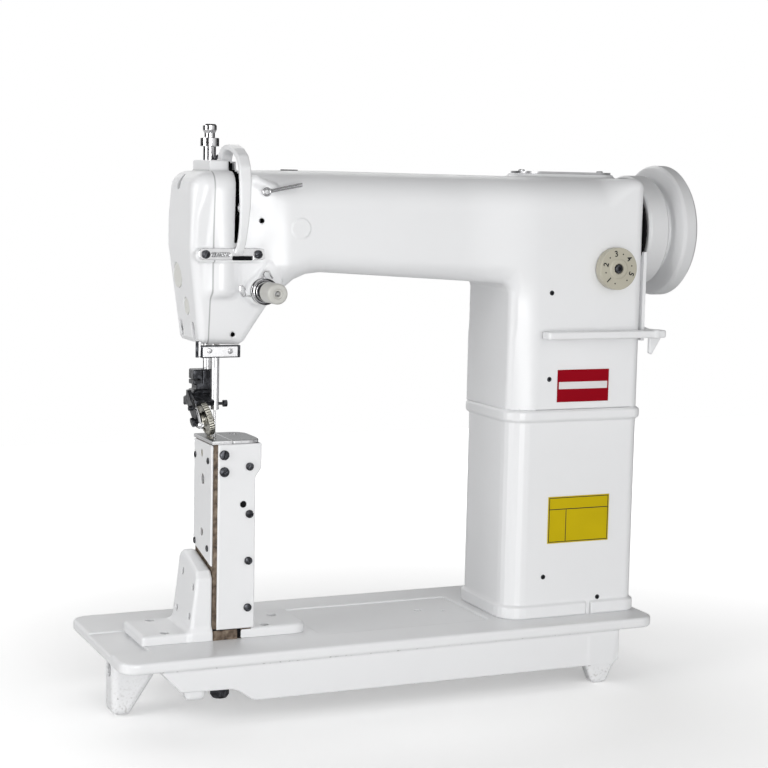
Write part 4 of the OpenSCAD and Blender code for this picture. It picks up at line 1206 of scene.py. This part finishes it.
def digit(text, angle, radius, size):
    """A raised digit on the dial's face, its top pointing outwards."""
    curve = bpy.data.curves.new("digit", "FONT")
    curve.body, curve.size, curve.align_x, curve.align_y = text, size, "CENTER", "CENTER"
    curve.extrude = 0.08
    curve.offset = 0.17
    curve.resolution_u = 4
    obj = bpy.data.objects.new("digit", curve)
    mesh = bpy.data.meshes.new_from_object(obj)
    bpy.data.objects.remove(obj)
    flat = np.array([tuple(v.co) for v in mesh.vertices])
    faces = [tuple(f.vertices) for f in mesh.polygons]
    flat[:, :2] -= (flat[:, :2].max(0) + flat[:, :2].min(0)) / 2
    a = math.radians(angle)
    turn = a - math.pi / 2
    x = flat[:, 0] * math.cos(turn) - flat[:, 1] * math.sin(turn) + radius * math.cos(a)
    z = flat[:, 0] * math.sin(turn) + flat[:, 1] * math.cos(turn) + radius * math.sin(a)
    return np.stack([x + DIAL[0], 20.97 - flat[:, 2], z + DIAL[2]], 1), faces


DIAL_STEP = 61
marks = [digit(str(n), 225 - DIAL_STEP * (n - 1), 14.3, 7.6) for n in range(1, 6)]
for n in range(6):
    a = math.radians(225 + DIAL_STEP / 2 - DIAL_STEP * n)
    marks.append(stood(turned([(0.0, 0.0), (0.0, 0.72), (0.12, 0.62), (0.12, 0.0)][::-1], 16),
                       (DIAL[0] + 14 * math.cos(a), 21.0, DIAL[2] + 14 * math.sin(a)), "-y"))
made("dial_marks", marks, INK, "stitch_dial", sharp=50)

# ---------------------------------------------------------------- handwheel

WHEEL_X1 = bench_box("handwheel")[1][0]
WHEEL = [(2, 7), (2, 18), (10, 18), (10, 44), (1, 44), (0, 46), (0, 50), (2, 52), (19.5, 52),
         (22, 49.5), (25.5, 43), (28, 43.5), (30, 56), (31.5, 60), (34, 62), (44, 62), (47.4, 58.5),
         (47.4, 52.5), (44, 49), (36, 46), (36, 20), (44, 18), (44, 7)]
# a darker copy of the white enamel: painted shade for the handwheel
SHADED_WHEEL_WHITE = enamel("white_enamel_wheel_shaded", tuple(0.83 * c for c in PAINT))
made("handwheel_rim", [stood(lathe(WHEEL, 2.0, 5, 144), (WHEEL_X1 - 47.4, SHAFT_Y, SHAFT_Z), "x")],
     SHADED_WHEEL_WHITE, "main_shaft", ["handwheel"])

# ---------------------------------------------------------------- presser

screw_profile = [(346.3, 0.01), (346.3, 4.8), (371, 4.8), (371.5, 5.7), (429, 5.7), (429, 8.4),
                 (436.4, 8.4), (436.4, 4.7), (440.5, 4.7), (443, 6.0), (444, 6.2), (447, 6.2),
                 (448.4, 5.0), (448.4, 0.01)]
made("pressure_thumb_screw", [stood(lathe(screw_profile, 0.45, 3), (*PRESSER, 0))], CHROME,
     "pressure_screw", ["pressure_screw"])
COIL_Z0, COIL_Z1 = 300.9, 345.3
coil = made("presser_coil", [stood(swept(helix(5.4, COIL_Z0, COIL_Z1, 9, 24), 0.8, 8), (*PRESSER, 0))],
            GROUND, replaces=["presser_spring"])
at(*PRESSER, COIL_Z1)
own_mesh(coil)
clip = [(108.5, 97, 414.5), (108.5, 95.5, 418.5), (109.2, 92.5, 420.6), (110.2, 89, 420.2),
        (111.4, 86.5, 417.2), (111.8, 85.5, 414.5)]
made("flange_clip", [swept(clip, 1.5, 10)], BLACK)

ROLLER_AT = (97, SHAFT_Y, 192.3)
ROLLER_TURN = 75


def roller_form(p):
    """The presser roller about its axle, with a knurled rim and a dished face."""
    x, y, z = np.moveaxis(p, -1, 0)
    r = np.hypot(x, y)
    rim = 15.15 + 0.3 * np.cos(40 * np.arctan2(y, x)) * step((r - 12) / 2)
    d = rounded(r - rim, np.abs(z) - 2.5, 0.6)
    d = rounded(d, -rounded(np.abs(r - 9.5) - 2.8, 1.5 - np.abs(z), 0.4), 0.4)
    d = filleted(d, rounded(r - 6, np.abs(z + 3.5) - 2, 0.5), 0.5)
    return rounded(d, -(r - 2.55), 0.3)


roller = surface(roller_form, (-16, -16, -6), (16, 16, 3), 0.42 * FINE)
made("roller_wheel", [stood(roller, ROLLER_AT, "z", tilt=ROLLER_TURN)], ROLLED,
     "presser_roller", ["presser_roller"], sharp=50)

ROLLER_ARM = [(99, 203), (99, 216), (94, 216), (84, 208), (74, 203), (72.3, 190), (78, 183.6),
              (86, 184), (91, 192), (96, 203)]
ARM_LEAN = 0.25
axle_way = np.array([math.sin(math.radians(ROLLER_TURN)), 0, math.cos(math.radians(ROLLER_TURN))])


def bracket_form(p):
    """The black clamp on the presser bar with the arm that carries the roller's axle."""
    x, y, z = np.moveaxis(p, -1, 0)
    d = carved(box(p, (90, 95, 213.8), (109.5, 110, 233.6), 1.3),
               [(box(p, (80, 85, 224.3), (98, 115, 225.1), 0.1), 0.3),
                (box(p, (97.6, 85, 222), (98.6, 98, 240), 0.1), 0.3),
                (box(p, (80, 85, 212.5), (92.8, 115, 220.3), 1.0), 0.8)])
    neck = box(p, (89, 92, 204), (109, 110, 216), 2.2)
    hood = polygon_distance([(110, 201), (110, 209), (92, 214), (76, 208), (78, 203.5), (94, 207)], y, z)
    hood = rounded(hood, np.abs(x - 94.5) - 9.5, 1.6)
    d = filleted(filleted(d, neck, 1.5), hood, 1.5)
    leaning = np.stack([x - ARM_LEAN * (200 - np.minimum(z, 204)), y, z], -1)
    d = filleted(d, prism(leaning, "x", ROLLER_ARM, 85.2, 88.4, 0.9), 1.5)
    lean = p - ROLLER_AT
    along = lean @ axle_way
    off = length(lean - along[..., None] * axle_way)
    d = np.minimum(d, rounded(off - 2.5, np.abs(along + 4.5) - 8, 0.4))
    d = filleted(d, rounded(off - 4.2, np.abs(along + 12.2) - 1.4, 0.5), 0.5)
    return rounded(d, -rod(p, "z", *PRESSER, 4.05, 190, 250, 0.1), 0.4)


placed(cast("roller_fork", bracket_form, (79, 71, 182), (111, 112, 235), 0.5 * FINE), BLACK,
       "presser_bar", ["roller_bracket"])
trim = [(86.6 + ARM_LEAN * (200 - min(z, 204)), y, z)
        for y, z in ((82, 208.8), (76.6, 204.6), (73.6, 200.5), (72.4, 195), (72.2, 189))]
tip_cap = softened([(-2, 0.01), (-2, 3.3), (1.4, 3.3), (2.8, 1.8), (2.8, 0.01)][::-1], 0.8, 4)
made("roller_arm_trim", [swept(trim, 1.2, 10), stood(turned(tip_cap, 40), (90.4, 73.6, 187.6), "-y")],
     CHROME, "presser_bar")
made("roller_arm_knob", [stood(washer(2, -3, 0.01, 2.2, 0.5, 3, 32), (84.2, 85, 201), "-x")],
     BLACK, "presser_bar")

# ---------------------------------------------------------------- hook cover

def hook_cover_form(p):
    """The sliding plate over the hook, with a countersunk hole for its screw."""
    d = prism(p, "z", round_rect(112, 51, 139, 104, 1, 12), 173.2, 176, 0.5)
    return rounded(d, -prism(p, "z", round_rect(121, 88, 130, 93.5, 2.7), 174.6, 180, 0.1), 0.3)


placed(cast("hook_slide_plate", hook_cover_form, (111, 50, 173), (140, 105, 176.2), 0.55 * FINE),
       SHADE_TOPPED_PLATE, "hook_cover", ["hook_cover"])

# ---------------------------------------------------------------- needle bar guide, take-up tip, post gaps

made("guide_block", [facing(round_rect(84.6, 249.0, 115.9, 258.0, 0.7), 52, 56.5, 0.6),
                     stood(washer(249.4, 262, 0.01, 1.2, 0.3, 2, 32), (82.9, 56.5, 0))],
     SATIN, replaces=["needle_bar_guide"])
made("guide_backing", [facing(round_rect(84.0, 248.2, 118.8, 258.8, 0.5), 54, 60, 0.3),
                       stood(washer(248, 262, 0.01, 1.5, 0.3, 2, 32), (82.4, 62, 0))],
     BLACK)
made("take_up_eye", [stood(washer(-2.4, 2.4, 0.01, 2.1, 0.7, 3, 40), (113.3, 41.0, 376.8), "x")],
     CHROME, "take_up")
made("cover_hole_shadow", [facing(arc(*COVER_HOLE, 0, 350, 35), POST_Y0 - 0.9, POST_Y0 - 0.1, 0.1)],
     PAINTED_SHADE)
made("post_gap_shadow", [facing(round_rect(118.2, 0.3, 121.6, 9.6, 0.2), 52.6, 58, 0.1),
                         facing(round_rect(95.8, 8.5, 121.4, 9.9, 0.2), 52.2, 58, 0.1)],
     PAINTED_SHADE)


# ---------------------------------------------------------------- stage, light and camera

def lobe(tree, way, direction, strength, sharpness=8):
    """A soft patch of light on the room's walls, towards a direction."""
    aim = tree.nodes.new("ShaderNodeVectorMath")
    aim.operation = "DOT_PRODUCT"
    aim.inputs[1].default_value = Vector(direction).normalized()
    tree.links.new(way, aim.inputs[0])
    spread = maths(tree, "POWER", maths(tree, "MAXIMUM", aim.outputs["Value"], 0.0), float(sharpness))
    return maths(tree, "MULTIPLY", spread, float(strength))


# direction towards the patch of light (frame axes: -Y is the camera's side) and its strength
WALL_LIGHT = [
    ((0.17, -0.98, 0.14), 0.88),
    ((0.70, -0.70, 0.14), 0.53),
    ((0.00, -0.74, 0.67), 0.75),
    ((0.00, 0.99, 0.14), 1.32),
]


MIDDLE = (0, 0, 0.25)                    # what the softboxes point at, in metres
EYE = (-0.6707, -1.4916, 0.4637)         # the camera's place, in metres
YAW, PITCH, ROLL = 23.91, -6.53, 1.21    # how the camera is turned, in degrees
LENS, SENSOR = 83.86, 36                 # focal length and sensor width, in millimetres
FLOOR_SIZE = 3.0                         # in metres


def backdrop():
    """A dark studio with soft patches of light around it, white where the camera sees it."""
    world = bpy.data.worlds.new("studio")
    world.use_nodes = True
    tree = world.node_tree
    background = tree.nodes["Background"]
    way = tree.nodes.new("ShaderNodeTexCoord").outputs["Generated"]
    room = 0.0
    for direction, strength in WALL_LIGHT:
        room = maths(tree, "ADD", room, lobe(tree, way, direction, strength))
    seen = tree.nodes.new("ShaderNodeLightPath").outputs["Is Camera Ray"]
    tree.links.new(mixed(tree, seen, room, (1.0, 1.0, 1.0)), background.inputs["Color"])
    background.inputs["Strength"].default_value = 1.0
    bpy.context.scene.world = world


def floor():
    """A pale floor that runs into the white backdrop."""
    bpy.ops.mesh.primitive_plane_add(size=FLOOR_SIZE, location=(0, 0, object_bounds()[0].z))
    plane = bpy.context.object
    plane.name = "floor"
    material, tree, shader, where = tree_of("floor")
    away = tree.nodes.new("ShaderNodeVectorMath")
    away.operation = "LENGTH"
    tree.links.new(where, away.inputs[0])
    lift = ramp(tree, maths(tree, "MULTIPLY", away.outputs["Value"], 0.5), [(0.13, 0.36), (0.5, 1.0)])
    seen = tree.nodes.new("ShaderNodeLightPath").outputs["Is Camera Ray"]
    tree.links.new(maths(tree, "MULTIPLY", lift, seen), shader.inputs["Emission Strength"])
    shader.inputs["Base Color"].default_value = (0.9, 0.9, 0.9, 1)
    shader.inputs["Roughness"].default_value = 0.8
    shader.inputs["Specular IOR Level"].default_value = 0.1
    shader.inputs["Emission Color"].default_value = (1, 1, 1, 1)
    plane.data.materials.append(material)
    plane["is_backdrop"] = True


def softbox(name, place, size, power):
    """A rectangular lamp aimed at the machine's middle: metres for its size, watts for its power."""
    light = bpy.data.lights.new(name, "AREA")
    light.shape = "RECTANGLE"
    light.size, light.size_y = size
    light.energy = power
    obj = bpy.data.objects.new(name, light)
    obj.location = place
    obj.rotation_mode = "QUATERNION"
    obj.rotation_quaternion = (Vector(MIDDLE) - Vector(place)).to_track_quat("-Z", "Y")
    bpy.context.scene.collection.objects.link(obj)
    obj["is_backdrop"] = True


def camera():
    """A long lens left of the machine, level with the top of its arm."""
    yaw, pitch, roll = math.radians(YAW), math.radians(PITCH), math.radians(ROLL)
    forward = Vector((math.sin(yaw) * math.cos(pitch), math.cos(yaw) * math.cos(pitch), math.sin(pitch)))
    right = Vector((math.cos(yaw), -math.sin(yaw), 0))
    up = right.cross(forward)
    right, up = math.cos(roll) * right + math.sin(roll) * up, math.cos(roll) * up - math.sin(roll) * right
    data = bpy.data.cameras.new("camera")
    data.lens = LENS
    data.sensor_width = SENSOR
    obj = bpy.data.objects.new("camera", data)
    turn = Matrix((right, up, -forward)).transposed()
    obj.matrix_world = Matrix.Translation(EYE) @ turn.to_4x4()
    bpy.context.scene.collection.objects.link(obj)
    bpy.context.scene.camera = obj


backdrop()
floor()
softbox("side", (-2.2, -0.4, 0.7), (1.2, 1.6), 24.7)
softbox("front", (-0.45, -2.2, 0.35), (1.0, 0.8), 17.5)
softbox("back", (0.0, 1.3, 1.5), (2.0, 1.0), 8.8)
camera()
bpy.context.scene.view_settings.view_transform = "Standard"

bpy.context.view_layer.update()
